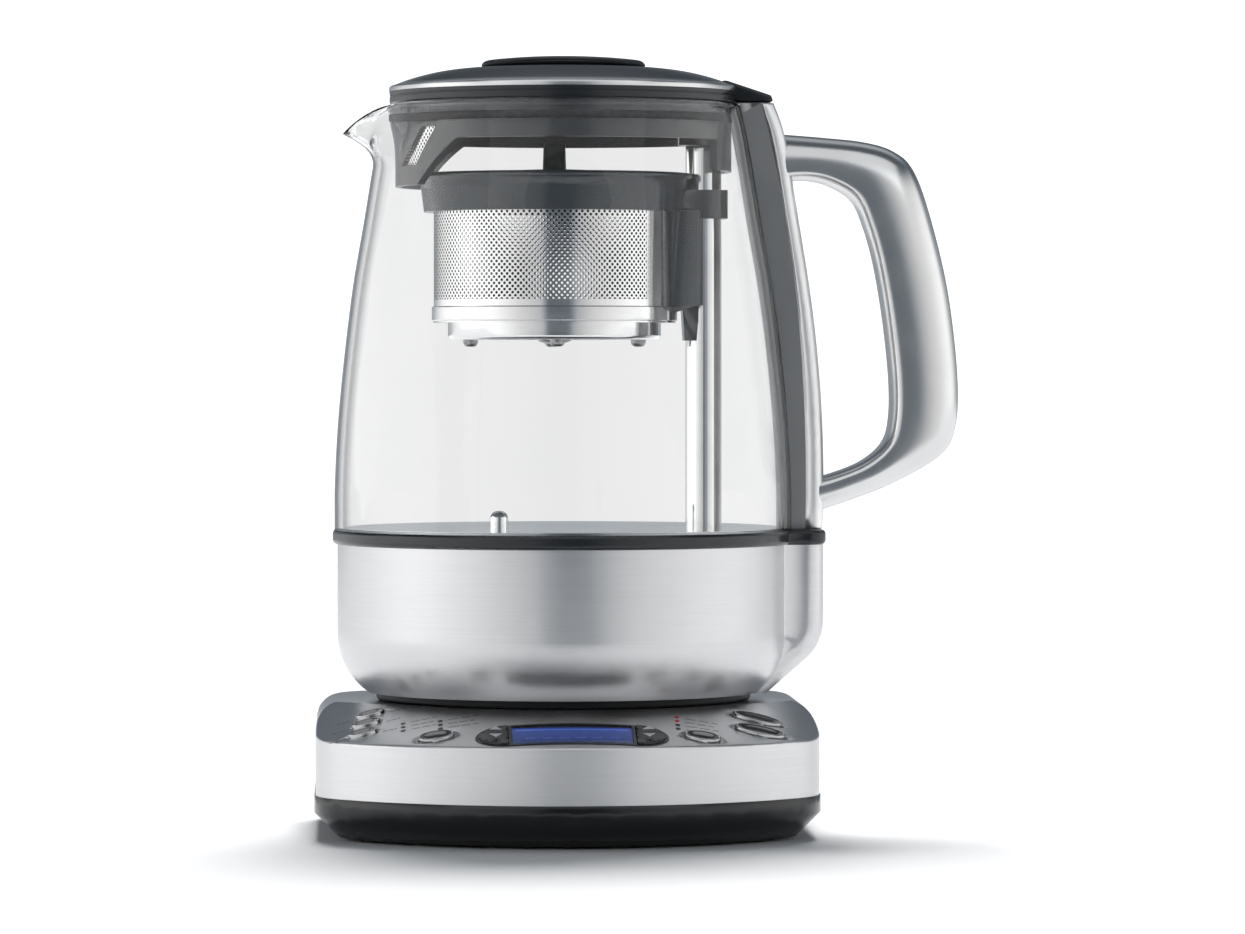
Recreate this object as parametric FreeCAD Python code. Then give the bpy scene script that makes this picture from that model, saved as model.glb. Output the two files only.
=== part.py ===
"""Automatic tea maker: a cordless glass jug with a motor-driven tea basket on a powered base.

Lengths are in millimetres. While the pieces are made, the jug's axis is the Z axis, the table is
z = 0, the spout points to -X, the handle to +X and the control panel faces -Y. The whole model is
then moved so that its origin is under the middle of its bounding box.
"""
import FreeCAD, Part
import math
import os
from FreeCAD import Placement, Rotation, Vector

# ---------------------------------------------------------------- driving dimensions
FIT = 0.3                     # gap between neighbours that move past each other
RUNNING = 0.06                # radial clearance of a shaft in its bearing

# base
BASE_WIDTH = 165.6
BASE_FRONT = 94.0             # jug axis to the front edge
BASE_BACK = 80.0              # jug axis to the back edge
FRONT_RADIUS = 100.0          # plan radius of the front edge
BACK_RADIUS = 170.0
CORNER_RADIUS = 28.0
TRAY_BOTTOM = 1.0             # the feet lift the tray off the table
TRAY_CHAMFER = 8.0
TRAY_WALL = 2.2
TRAY_DEPTH = 13.5             # from the tray's bottom to the seam with the steel shell
SHELL_STEP = 0.4              # the shell stands this far inside the tray
SHELL_WALL = 1.5
SHOULDER_RADIUS = 8.0
CREASE_RADIUS = 1.2           # rounding of the crease where the panel starts
SHELL_DEPTH = 28.8            # from the seam to the level deck that the jug stands on
FRONT_FACE = 18.5             # from the seam to the crease where the panel starts
PANEL_SLOPE = math.radians(17.8)
PANEL_SWEEP = 50.0            # half angle of the conical part of the panel
FOOT_PAD_RADIUS = 7.0
FOOT_PAD_DEPTH = 2.2
FOOT_PADS = ((52.0, -52.0), (52.0, 54.0))
TRAY_SCREWS = ((60.0, -8.0), (58.0, 34.0))
SCREW_RADIUS = 1.4
SCREW_HEAD_RADIUS = 3.0
SCREW_HEAD_HEIGHT = 1.4
SCREW_HEAD_ROOM = 0.3
INLET_RISE = 11.5             # the cord's grommet above the seam
INLET_BORE_RADIUS = 3.6
INLET_RADIUS = 5.4
INLET_FLANGE_RADIUS = 7.6
INLET_FLANGE = 1.2

# round power connector under the jug
TOWER_RADIUS = 15.0
TOWER_HEIGHT = 8.0
TOWER_FLANGE_RADIUS = 24.0
TOWER_DEPTH = 12.0            # how far the connector reaches below the deck
PIN_RADIUS = 2.4
BLADE_RADIUS = 9.2
BLADE_WALL = 1.3
CONTACT_GAP = 0.6
SOCKET_RADIUS = 21.0
SOCKET_HEIGHT = 12.0

# controls: each centre across and in from the front edge, then its half length and half width
SMALL_OVAL = (4.9, 3.1)
MEDIUM_OVAL = (7.2, 4.3)
LARGE_OVAL = (9.4, 4.9)
OVAL_BUTTONS = {
    "hot_water_button": ((-64.5, 58.0), SMALL_OVAL),
    "clock_button": ((-65.9, 47.8), SMALL_OVAL),
    "auto_start_button": ((-67.0, 37.4), SMALL_OVAL),
    "tea_type_button": ((-43.5, 19.0), MEDIUM_OVAL),
    "strength_button": ((42.0, 17.4), MEDIUM_OVAL),
    "keep_warm_button": ((61.6, 48.0), LARGE_OVAL),
    "start_button": ((61.6, 33.8), LARGE_OVAL),
}
BUTTON_RISE = 1.1
BUTTON_TRAVEL = 0.8
BUTTON_GAP = 0.25
BUTTON_FLANGE = 1.0
BUTTON_STEM_RADIUS = 1.6
RIM_STEP = 0.5                # depth and width of the dished rim round each button
DISPLAY_SETBACK = 12.4        # front edge of the base to the middle of the display
DISPLAY_HALF_LENGTH = 31.0
DISPLAY_HALF_HEIGHT = 8.9
DISPLAY_FRAME = 0.8
WINDOW_HALF_LENGTH = 19.4
WINDOW_HALF_HEIGHT = 7.8
WINDOW_THICKNESS = 1.2
KEY_BAR = 1.0                 # web between the window and each rocker key
KEY_PIN_RADIUS = 0.8
KEY_PIN_DEPTH = 2.6
LIGHT_RADIUS = 0.8
LIGHT_COLUMNS = ((-54.0, 38.4), (-42.0, 33.6), (34.5, 33.0))
LIGHT_COUNTS = (3, 3, 4)
LIGHT_PITCHES = (3.7, 3.6, 3.5)
BOARD_DROP = 11.0             # crease of the panel to the underside of the control board
BOARD_THICKNESS = 1.6
REST_SPACING = 36.0           # between the ribs of the tray that the board lies on
REST_SETBACK = 20.0
SWITCH_SIDE = 6.0
SWITCH_HEIGHT = 3.5

# jug
FOOT_INSET = 12.9             # side of the casing to the side of the foot
FOOT_SHOW = 2.7               # height of the foot that shows below the casing
JUG_FOOT_WALL = 3.6
JUG_FOOT_PLATE = 2.0           # floor of the foot
FOOT_SCREW_SEAT = 1.0          # plate left under the head of a foot screw
CASING_RADIUS = 75.3
CASING_WALL = 1.0
CASING_ROUNDING = 19.7        # height over which the wall rounds in below
CASING_TURN_RADIUS = 24.5
CASING_UPRIGHT = 29.4         # height of the upright wall above it
RIB_DEPTH = 10.5              # how far the rib under the handle stands out of the casing
RIB_HALF_WIDTH = 19.0
RIB_ROUNDING = 23.7           # height over which the rib draws in below
RIB_TURN_RADIUS = 16.5
RIB_SLANT = math.radians(49.0)  # turn of its rounding before it runs straight down to the drum
RIB_CORNER = 6.0
COLLAR_HEIGHT = 5.0
COLLAR_LIP = 1.6              # how far the collar stands proud of the casing
COLLAR_LEDGE = 3.3            # ledge under the edge of the floor plate
GLASS_OVERHANG = 1.0          # glass stands this far outside the casing
GLASS_WALL = 2.6
GLASS_HEIGHT = 140.8
GLASS_STRAIGHT = 11.3         # upright part of the glass wall at its foot
GLASS_LOWER = ((1.6, 40.3), (5.6, 76.3))      # inside the foot radius, above the foot
GLASS_UPPER = ((7.0, 38.0), (2.7, 12.0))      # outside the rim radius, below the rim
NECK_DRAW = 17.0              # how much smaller the rim is than the foot of the glass
GASKET = 1.8
SPOUT_STATIONS = (            # out from the rim, lip above the rim, depth below it, half width
    (-9.3, 1.5, 26.0, 26.0),
    (0.7, -0.2, 19.4, 20.0),
    (5.2, -1.9, 13.0, 15.0),
    (9.2, -4.3, 7.9, 10.5),
    (12.5, -6.9, 4.4, 7.2),
    (14.5, -9.1, 2.0, 4.6),
)
FLOOR_THICKNESS = 1.4
PROBE_RADIUS = 3.0
PROBE_RISE = 6.0              # how far the thermometer stands above the floor plate
PROBE_PLACE = (-22.0, -24.0)
ELEMENT_RADIUS = 45.0
ELEMENT_TUBE = 3.2
ELEMENT_SWEEP = 250.0
CHASSIS_INSET = 2.4           # side of the foot to the edge of the chassis
CHASSIS_THICKNESS = 2.5
MOTOR_RADIUS = 11.5
GEARBOX_RADIUS = 13.0
MOTOR_HEIGHT = 24.0
GEARBOX_HEIGHT = 11.0
POST_INSET = 12.5             # rim of the glass to the middle of the post, on the handle side
POST_RADIUS = 6.0
POST_WALL = 0.8
POST_DROP = 14.5              # rim of the glass to the top of the post tube
POST_CAP = 0.8
SCREW_SHAFT_RADIUS = 2.2
COUPLING_RADIUS = 4.0
CARRIAGE_LENGTH = 16.0

# spine and handle
SPINE_HALF_WIDTH = 14.0
SPINE_SKIN = 6.0              # depth of the polished strip at its foot
SPINE_EDGE = 3.5
HANDLE_HALF_WIDTH = 13.5
HANDLE_OUTER_EDGE = 10.0
HANDLE_INNER_EDGE = 4.0
HANDLE_STAND = 46.0           # rib to the outermost point of the handle

# basket at its rest, the top of its travel
BASKET_X = -3.0
POST_ROOM = 3.6               # basket wall to the post
WALL_THICKNESS = 0.7
CARRIER_FLARE = 6.0           # the carrier's rim stands this far outside the basket wall
CARRIER_TAPER = 2.7           # and draws in by this much to its foot
CARRIER_DROP = 8.6            # top of the post tube to the top of the carrier
CARRIER_DEPTH = 12.7
CARRIER_RIM = 2.4
BASKET_LID_OVERLAP = 1.2      # the basket lid is this much larger in radius than the wall
BASKET_LID_SINK = 4.2         # carrier top to the seat of the basket lid
BASKET_LID_DOME = 4.0
BASKET_LID_EDGE = 1.4
BASKET_KNOB_RADIUS = 3.9
BASKET_KNOB_RISE = 10.2       # carrier top to the top of the knob
ARM_HANG = 2.2                # the arm starts this far below the carrier
ARM_DEPTH = 9.5
ARM_HALF_WIDTH = 10.0
POST_SLIDE = 0.15             # radial clearance of the basket's arm on the post
GUIDE_HALF_WIDTH = 12.7
GUIDE_OVERHANG = 3.7          # top of the band to the guide's lower end
GUIDE_BACKSET = 2.0           # middle of the post to the face of the guide
GUIDE_SLANT = 4.2
TAB_DROP = 7.6
MAGNET_RADIUS = 1.6
WALL_SHOW = 31.4              # carrier to the band under the wall
BAND_DEPTH = 5.4
BAND_STEP = 0.3               # the band is this much larger in radius than the wall
BAND_BEAD = 0.4               # the band stands out this far below and above its seat
CUP_INSET = 4.7               # basket wall to the side of the cup
CUP_DEPTH = 5.6
CUP_SHEET = 0.8
STUD_RADIUS = 2.0
STUD_INSET = 7.5
STUD_DROP = 2.4
BOSS_RADIUS = 6.5

# lid
LID_INSET = 1.4               # rim of the glass to the edge of the lid body
LID_SEAM_RISE = 2.4
LID_BODY_DEPTH = 3.9
LID_PLATE_SHEET = 1.0
LID_PLATE_EDGE = 2.0          # upright edge of the steel plate
LID_PLATE_DOME = 5.8          # rise from its edge to the knob
LID_KNOB_RADIUS = 27.3
LID_KNOB_NECK = 12.0
LID_KNOB_LAND = 2.0           # flat middle of the knob's top
LID_KNOB_HEIGHT = 4.0
SKIRT_GAP = 0.7               # skirt to the inside of the glass rim
SKIRT_WALL = 2.0
SKIRT_DEPTH = 12.8            # all depths of the skirt are below the lid body
SKIRT_ROOF_DEPTH = 2.2
SEAL_DEPTH = 6.8
SEAL_SECTION = 2.4
APRON_DEPTH = 27.8
APRON_TOP_HALF = 44.0
APRON_LOW_HALF = 28.0
HANDLE_APRON_DEPTH = 22.8
HANDLE_APRON_HALF = 27.0
WINDOW_TOP_DEPTH = 8.8
WINDOW_HEIGHT = 12.5
WINDOW_INSET = 13.5           # side of the skirt to the window's top corner nearest the jug's axis
WINDOW_SLANT = 6.5            # how far the window leans towards the spout
WINDOW_WIDTH = 4.5
TAB_HALF_WIDTH = 12.0

# ---------------------------------------------------------------- places that follow from these
SEAM_HEIGHT = TRAY_BOTTOM + TRAY_DEPTH
DECK_HEIGHT = SEAM_HEIGHT + SHELL_DEPTH
PANEL_EDGE_HEIGHT = SEAM_HEIGHT + FRONT_FACE
INLET_HEIGHT = SEAM_HEIGHT + INLET_RISE
FRONT_AXIS = FRONT_RADIUS - BASE_FRONT        # y of the centre of the front arc and the panel cone
BACK_AXIS = BASE_BACK - BACK_RADIUS
PANEL_RADIUS = FRONT_RADIUS - SHELL_STEP      # cone radius at the crease
DISPLAY_CENTRE = (0.0, DISPLAY_SETBACK - BASE_FRONT)
BOARD_HEIGHT = PANEL_EDGE_HEIGHT - BOARD_DROP
BOARD_TOP = BOARD_HEIGHT + BOARD_THICKNESS
TOWER_TOP = DECK_HEIGHT + TOWER_HEIGHT
SOCKET_BOTTOM = DECK_HEIGHT + 1.0
SOCKET_TOP = SOCKET_BOTTOM + SOCKET_HEIGHT

JUG_FOOT_BOTTOM = DECK_HEIGHT + FIT
JUG_FOOT_RADIUS = CASING_RADIUS - FOOT_INSET
CASING_BOTTOM = JUG_FOOT_BOTTOM + FOOT_SHOW
CASING_TURN_HEIGHT = CASING_BOTTOM + CASING_ROUNDING
CASING_TOP = CASING_TURN_HEIGHT + CASING_UPRIGHT
RIB_REACH = CASING_RADIUS + RIB_DEPTH
RIB_TURN_HEIGHT = CASING_BOTTOM + RIB_ROUNDING
FOOT_FLOOR = CASING_BOTTOM + 0.2
FOOT_TOP = CASING_BOTTOM + 3.7
CHASSIS_RADIUS = JUG_FOOT_RADIUS - CHASSIS_INSET
CHASSIS_TOP = FOOT_TOP + CHASSIS_THICKNESS
GEARBOX_TOP = CHASSIS_TOP + MOTOR_HEIGHT + GEARBOX_HEIGHT
COLLAR_TOP = CASING_TOP + COLLAR_HEIGHT

GLASS_FOOT = COLLAR_TOP + FIT
GLASS_FOOT_RADIUS = CASING_RADIUS + GLASS_OVERHANG
GLASS_STRAIGHT_TOP = GLASS_FOOT + GLASS_STRAIGHT
RIM_HEIGHT = GLASS_FOOT + GLASS_HEIGHT
RIM_RADIUS = GLASS_FOOT_RADIUS - NECK_DRAW
GLASS_PROFILE = ([(GLASS_FOOT_RADIUS - draw, GLASS_FOOT + rise) for draw, rise in GLASS_LOWER]
                 + [(RIM_RADIUS + out, RIM_HEIGHT - drop) for out, drop in GLASS_UPPER])
SPOUT_SECTIONS = [(-RIM_RADIUS - out, RIM_HEIGHT + rise, depth, half)
                  for out, rise, depth, half in SPOUT_STATIONS]
FLOOR_SEAT = COLLAR_TOP - 0.9
FLOOR_TOP = FLOOR_SEAT + FLOOR_THICKNESS
FLOOR_RADIUS = GLASS_FOOT_RADIUS - GLASS_WALL - 0.4
COLLAR_BORE = FLOOR_RADIUS - COLLAR_LEDGE
POST_X = RIM_RADIUS - POST_INSET
POST_TOP = RIM_HEIGHT - POST_DROP
POST_BORE = POST_RADIUS - POST_WALL

SPINE_FOOT = COLLAR_TOP + 0.2
SPINE_HEAD = RIM_HEIGHT + 0.3
SPINE_OUTER = (
    (RIB_REACH, SPINE_FOOT),
    (RIB_REACH + 0.3, COLLAR_TOP + 22.1),
    (RIB_REACH - 0.9, COLLAR_TOP + 49.2),
    (RIM_RADIUS + 21.9, RIM_HEIGHT - 59.2),
    (RIM_RADIUS + 16.7, RIM_HEIGHT - 26.9),
    (RIM_RADIUS + 13.2, RIM_HEIGHT - 8.1),
    (RIM_RADIUS + 10.1, SPINE_HEAD),
)
SPINE_INNER = (
    (RIB_REACH - SPINE_SKIN, SPINE_FOOT),
    (GLASS_FOOT_RADIUS + 3.6, COLLAR_TOP + 26.6),
    (GLASS_FOOT_RADIUS + 1.5, COLLAR_TOP + 66.6),
    (RIM_RADIUS + 15.3, RIM_HEIGHT - 46.5),
    (RIM_RADIUS + 10.9, RIM_HEIGHT - 21.5),
    (RIM_RADIUS + 5.9, SPINE_HEAD),
)
HANDLE_REACH = RIB_REACH + HANDLE_STAND
HANDLE_OUTER = (
    (RIM_RADIUS + 10.7, RIM_HEIGHT - 9.5),
    (RIM_RADIUS + 27.2, RIM_HEIGHT - 10.8),
    (RIM_RADIUS + 41.0, RIM_HEIGHT - 12.3),
    (HANDLE_REACH - 21.8, RIM_HEIGHT - 15.3),
    (HANDLE_REACH - 15.1, RIM_HEIGHT - 21.5),
    (HANDLE_REACH - 9.5, RIM_HEIGHT - 36.5),
    (HANDLE_REACH - 3.5, RIM_HEIGHT - 61.5),
    (HANDLE_REACH - 0.2, COLLAR_TOP + 51.6),
    (HANDLE_REACH - 0.8, COLLAR_TOP + 34.1),
    (HANDLE_REACH - 5.8, COLLAR_TOP + 24.4),
    (HANDLE_REACH - 21.7, COLLAR_TOP + 15.1),
    (RIB_REACH + 10.2, COLLAR_TOP + 9.5),
    (RIB_REACH - 5.8, COLLAR_TOP + 4.2),
)
HANDLE_INNER = (
    (RIB_REACH - 5.8, COLLAR_TOP + 18.0),
    (RIB_REACH + 4.2, COLLAR_TOP + 19.0),
    (HANDLE_REACH - 30.3, COLLAR_TOP + 23.6),
    (HANDLE_REACH - 22.4, COLLAR_TOP + 29.0),
    (HANDLE_REACH - 19.5, COLLAR_TOP + 37.1),
    (HANDLE_REACH - 19.4, COLLAR_TOP + 49.6),
    (HANDLE_REACH - 21.4, RIM_HEIGHT - 71.5),
    (HANDLE_REACH - 24.6, RIM_HEIGHT - 53.5),
    (HANDLE_REACH - 28.4, RIM_HEIGHT - 40.0),
    (HANDLE_REACH - 33.2, RIM_HEIGHT - 30.5),
    (HANDLE_REACH - 40.8, RIM_HEIGHT - 25.7),
    (HANDLE_REACH - 48.8, RIM_HEIGHT - 24.7),
    (RIM_RADIUS + 10.7, RIM_HEIGHT - 25.9),
)

WALL_RADIUS = POST_X - POST_RADIUS - POST_ROOM - BASKET_X
CARRIER_RIM_RADIUS = WALL_RADIUS + CARRIER_FLARE
CARRIER_FOOT_RADIUS = CARRIER_RIM_RADIUS - CARRIER_TAPER
CARRIER_TOP = POST_TOP - CARRIER_DROP
CARRIER_BOTTOM = CARRIER_TOP - CARRIER_DEPTH
BASKET_LID_RADIUS = WALL_RADIUS + BASKET_LID_OVERLAP
BASKET_LID_SEAT = CARRIER_TOP - BASKET_LID_SINK
BASKET_KNOB_TOP = CARRIER_TOP + BASKET_KNOB_RISE
ARM_BOTTOM = CARRIER_BOTTOM - ARM_HANG
ARM_TOP = ARM_BOTTOM + ARM_DEPTH
ARM_MIDDLE = (ARM_BOTTOM + ARM_TOP) / 2.0
BAND_TOP = CARRIER_BOTTOM - WALL_SHOW
BAND_BOTTOM = BAND_TOP - BAND_DEPTH
BAND_RADIUS = WALL_RADIUS + BAND_STEP
GUIDE_BOTTOM = BAND_TOP - GUIDE_OVERHANG
GUIDE_REACH = POST_X - GUIDE_BACKSET
CUP_RADIUS = WALL_RADIUS - CUP_INSET
CUP_BOTTOM = BAND_BOTTOM - CUP_DEPTH
STUD_CIRCLE = CUP_RADIUS - STUD_INSET

LID_RADIUS = RIM_RADIUS - LID_INSET
LID_BOTTOM = RIM_HEIGHT + FIT
LID_SEAM = LID_BOTTOM + LID_SEAM_RISE
LID_BODY_TOP = LID_BOTTOM + LID_BODY_DEPTH
LID_PLATE_RIM = LID_BODY_TOP + LID_PLATE_EDGE
LID_PLATE_TOP = LID_PLATE_RIM + LID_PLATE_DOME
LID_TOP = LID_PLATE_TOP + LID_KNOB_HEIGHT
TAB_PROFILE = (
    (LID_RADIUS - 7.9, LID_BODY_TOP + 2.9),
    (LID_RADIUS - 4.4, LID_BODY_TOP + 3.7),
    (LID_RADIUS + 10.7, LID_BODY_TOP - 1.3),
    (LID_RADIUS + 11.4, LID_BOTTOM + 0.5),
    (LID_RADIUS - 0.9, LID_BOTTOM + 0.5),
)
SKIRT_RADIUS = RIM_RADIUS - GLASS_WALL - SKIRT_GAP
SKIRT_BOTTOM = LID_BOTTOM - SKIRT_DEPTH
SKIRT_ROOF = LID_BOTTOM - SKIRT_ROOF_DEPTH
SKIRT_SEAL_HEIGHT = LID_BOTTOM - SEAL_DEPTH
APRON_BOTTOM = LID_BOTTOM - APRON_DEPTH
HANDLE_APRON_BOTTOM = LID_BOTTOM - HANDLE_APRON_DEPTH
WINDOW_TOP = LID_BOTTOM - WINDOW_TOP_DEPTH
WINDOW_BOTTOM = WINDOW_TOP - WINDOW_HEIGHT


# ---------------------------------------------------------------- drawing helpers
def plan(a, b):
    """Point of a plan outline."""
    return Vector(a, b, 0.0)


def side(a, b):
    """Point of an outline in the XZ plane."""
    return Vector(a, 0.0, b)


def front(a, b):
    """Point of an outline in the YZ plane."""
    return Vector(0.0, a, b)


def line(point):
    """Straight step of an outline."""
    return ("line", [point])


def arc(middle, end):
    """Round step of an outline."""
    return ("arc", [middle, end])


def curve(*points):
    """Smooth step of an outline through the given points."""
    return ("curve", list(points))


def outline(plane, start, *steps):
    """Closed flat face whose border is the steps, shut by a straight line where it is open.

    A straight step of no length is passed over.
    """
    edges = []
    here = start
    if steps[-1][1][-1] != start:
        steps = steps + (line(start),)
    for kind, points in steps:
        if kind == "line" and points[0] == here:
            continue
        corners = [plane(*here)] + [plane(*point) for point in points]
        if kind == "line":
            edges.append(Part.LineSegment(corners[0], corners[1]).toShape())
        elif kind == "arc":
            edges.append(Part.Arc(*corners).toShape())
        else:
            spline = Part.BSplineCurve()
            spline.interpolate(corners)
            edges.append(spline.toShape())
        here = points[-1]
    return Part.Face(Part.Wire(edges))


def turned(start, *steps, centre=(0.0, 0.0), angle=360.0):
    """Solid of revolution about an upright axis; outline points are (radius, height)."""
    solid = outline(side, start, *steps).revolve(Vector(), Vector(0, 0, 1), angle)
    solid.translate(Vector(centre[0], centre[1], 0.0))
    return solid


def upright(face, low, high):
    """Prism on a plan outline between two heights."""
    solid = face.extrude(Vector(0, 0, high - low))
    solid.translate(Vector(0, 0, low))
    return solid


def crosswise(face, half_width):
    """Prism on an XZ outline, as wide each side of the middle plane."""
    solid = face.extrude(Vector(0, 2.0 * half_width, 0))
    solid.translate(Vector(0, -half_width, 0))
    return solid


def rod(radius, low, high, centre=(0.0, 0.0)):
    """Upright cylinder."""
    return Part.makeCylinder(radius, high - low, Vector(centre[0], centre[1], low))


def tube(inner, outer, low, high, centre=(0.0, 0.0)):
    """Upright cylinder with a bore."""
    return rod(outer, low, high, centre).cut(rod(inner, low, high, centre))


def block(x_range, y_range, z_range):
    """Box between three pairs of limits."""
    low = Vector(x_range[0], y_range[0], z_range[0])
    return Part.makeBox(x_range[1] - low.x, y_range[1] - low.y, z_range[1] - low.z, low)


def oval(half_length, half_width, low, high):
    """Upright prism on an ellipse about the origin."""
    ellipse = Part.Ellipse(Vector(), half_length, half_width).toShape()
    return upright(Part.Face(Part.Wire([ellipse])), low, high)


def mirrored(points):
    """The points and their mirror images across the middle plane of the base."""
    return [(sign * x, y) for x, y in points for sign in (1.0, -1.0)]


def edges_at_height(shape, height):
    """Edges that lie level at a height."""
    return [edge for edge in shape.Edges
            if abs(edge.BoundBox.ZMin - height) < 1e-3 and abs(edge.BoundBox.ZMax - height) < 1e-3]


def upright_edges(shape):
    """Edges that run straight up."""
    return [edge for edge in shape.Edges
            if edge.BoundBox.XLength < 1e-3 and edge.BoundBox.YLength < 1e-3]


# ---------------------------------------------------------------- base
def base_block(inset, low, high):
    """Plan outline of the base, drawn in by an inset, between two heights."""
    half = BASE_WIDTH / 2.0 - inset
    front_radius = FRONT_RADIUS - inset
    back_radius = BACK_RADIUS - inset
    y_front = FRONT_AXIS - math.sqrt(front_radius ** 2 - half ** 2)
    y_back = BACK_AXIS + math.sqrt(back_radius ** 2 - half ** 2)
    face = outline(plan, (half, y_front),
                   line((half, y_back)),
                   arc((0.0, BACK_AXIS + back_radius), (-half, y_back)),
                   line((-half, y_front)),
                   arc((0.0, FRONT_AXIS - front_radius), (half, y_front)))
    solid = upright(face, low, high)
    return solid.makeFillet(CORNER_RADIUS - inset, upright_edges(solid))


def panel_height(radius, depth=0.0):
    """Height of the panel at a distance from the cone's axis, or of a layer below it."""
    fall = (PANEL_RADIUS - radius) * math.tan(PANEL_SLOPE)
    return PANEL_EDGE_HEIGHT + fall - depth / math.cos(PANEL_SLOPE)


def panel_cutters(depth):
    """Everything above the panel: a conical sector, and a flat wedge running back on each side."""
    outer = FRONT_RADIUS + 20.0
    above = DECK_HEIGHT + 5.0
    inner = PANEL_RADIUS - (above - panel_height(PANEL_RADIUS, depth)) / math.tan(PANEL_SLOPE)
    face = outline(side, (outer, panel_height(outer, depth)), line((inner, above)),
                   line((outer, above)))
    cutters = []
    start = -90.0 - PANEL_SWEEP
    sector = face.revolve(Vector(), Vector(0, 0, 1), 2.0 * PANEL_SWEEP)
    sector.rotate(Vector(), Vector(0, 0, 1), start)
    cutters.append(sector)
    for sign, bearing in ((-1.0, start), (1.0, start + 2.0 * PANEL_SWEEP)):
        turn = math.radians(bearing)
        wedge_face = face.copy()
        wedge_face.rotate(Vector(), Vector(0, 0, 1), bearing)
        run = Vector(-math.sin(turn), math.cos(turn), 0.0) * (sign * BASE_WIDTH)
        cutters.append(wedge_face.extrude(run))
    for cutter in cutters:
        cutter.translate(Vector(0, FRONT_AXIS, 0))
    return cutters


def deck_form(inset, low):
    """Solid form of the shell: level deck, rounded shoulders and sloping panel."""
    top = DECK_HEIGHT - inset
    solid = base_block(SHELL_STEP + inset, low, top)
    solid = solid.makeFillet(SHOULDER_RADIUS - inset, edges_at_height(solid, top))
    return solid.cut(panel_cutters(inset))


def panel_place(x, y):
    """Placement on the panel: local Z is square to it and local X runs along it, level in plan."""
    offset = Vector(x, y - FRONT_AXIS, 0.0)
    bearing = math.degrees(math.atan2(offset.y, offset.x))
    limit = min(max(bearing, -90.0 - PANEL_SWEEP), -90.0 + PANEL_SWEEP)
    outward = Vector(math.cos(math.radians(limit)), math.sin(math.radians(limit)), 0.0)
    height = panel_height(offset.dot(outward))
    normal = outward * math.sin(PANEL_SLOPE) + Vector(0, 0, math.cos(PANEL_SLOPE))
    along = Vector(1, 0, 0) - normal * normal.x
    along.normalize()
    return Placement(Vector(x, y, height), Rotation(along, normal.cross(along), normal, "ZXY"))


def on_panel(solid, x, y):
    """The solid, drawn about the origin, set on the panel."""
    placed = solid.copy()
    placed.Placement = panel_place(x, y)
    return placed


def below_panel(solid, rise):
    """The part of a solid that lies below the panel's cone raised by an amount."""
    reach = FRONT_RADIUS + 10.0
    floor = TRAY_BOTTOM
    cone = turned((0.0, floor), line((reach, floor)), line((reach, panel_height(reach, -rise))),
                  line((0.0, panel_height(0.0, -rise))), centre=(0.0, FRONT_AXIS))
    return solid.common(cone)


def display_outline(inset, low, high):
    """Long shape of the display: straight sides and half-oval ends."""
    straight = WINDOW_HALF_LENGTH + KEY_BAR
    height = DISPLAY_HALF_HEIGHT - inset
    solid = block((-straight, straight), (-height, height), (low, high))
    end = oval(DISPLAY_HALF_LENGTH - straight - inset, height, low, high)
    if DISPLAY_HALF_LENGTH - straight < DISPLAY_HALF_HEIGHT:
        end = oval(height, DISPLAY_HALF_LENGTH - straight - inset, low, high)
        end.rotate(Vector(), Vector(0, 0, 1), 90.0)
    for shift in (-straight, straight):
        cap = end.copy()
        cap.translate(Vector(shift, 0, 0))
        solid = solid.fuse(cap)
    return solid.removeSplitter()


def button_place(name):
    """Plan place of an oval button."""
    x, setback = OVAL_BUTTONS[name][0]
    return x, setback - BASE_FRONT


def light_places():
    """Plan place of each indicator light."""
    return [(x, setback - BASE_FRONT - step * pitch)
            for (x, setback), count, pitch in zip(LIGHT_COLUMNS, LIGHT_COUNTS, LIGHT_PITCHES)
            for step in range(count)]


def base_shell():
    """Steel cover with the panel's cut-outs, the connector's hole and the screw bosses."""
    outer = deck_form(0.0, SEAM_HEIGHT)
    outer = outer.makeFillet(CREASE_RADIUS, edges_at_height(outer, PANEL_EDGE_HEIGHT))
    inner = deck_form(SHELL_WALL, SEAM_HEIGHT - 1.0)
    shell = outer.cut(inner)
    boss_room = deck_form(SHELL_WALL / 2.0, SEAM_HEIGHT)
    bosses = [rod(SCREW_RADIUS * 2.6, SEAM_HEIGHT + 3.0, DECK_HEIGHT, place).common(boss_room)
              for place in mirrored(TRAY_SCREWS)]
    shell = shell.fuse(bosses)
    cuts = [rod(SCREW_RADIUS, SEAM_HEIGHT, DECK_HEIGHT - 8.0, place)
            for place in mirrored(TRAY_SCREWS)]
    cuts.append(rod(TOWER_RADIUS + FIT, DECK_HEIGHT - 5.0, DECK_HEIGHT + 1.0))
    for name, (_, (length, width)) in OVAL_BUTTONS.items():
        hole = oval(length + BUTTON_GAP, width + BUTTON_GAP, -3.0 * SHELL_WALL, 2.0)
        dish = oval(length + BUTTON_GAP + RIM_STEP, width + BUTTON_GAP + RIM_STEP, -RIM_STEP, 2.0)
        cuts.append(on_panel(hole.fuse(dish), *button_place(name)))
    cuts.append(on_panel(display_outline(-FIT / 2.0, -3.0 * SHELL_WALL, 4.0), *DISPLAY_CENTRE))
    for x, y in light_places():
        cuts.append(on_panel(Part.makeCylinder(LIGHT_RADIUS + 0.05, 8.0, Vector(0, 0, -5.0)), x, y))
    inlet = Part.makeCylinder(INLET_RADIUS + 0.1, 4.0 * SHELL_WALL,
                              Vector(0, BASE_BACK - 3.0 * SHELL_WALL, INLET_HEIGHT), Vector(0, 1, 0))
    cuts.append(inlet)
    return shell.cut(cuts)


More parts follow.
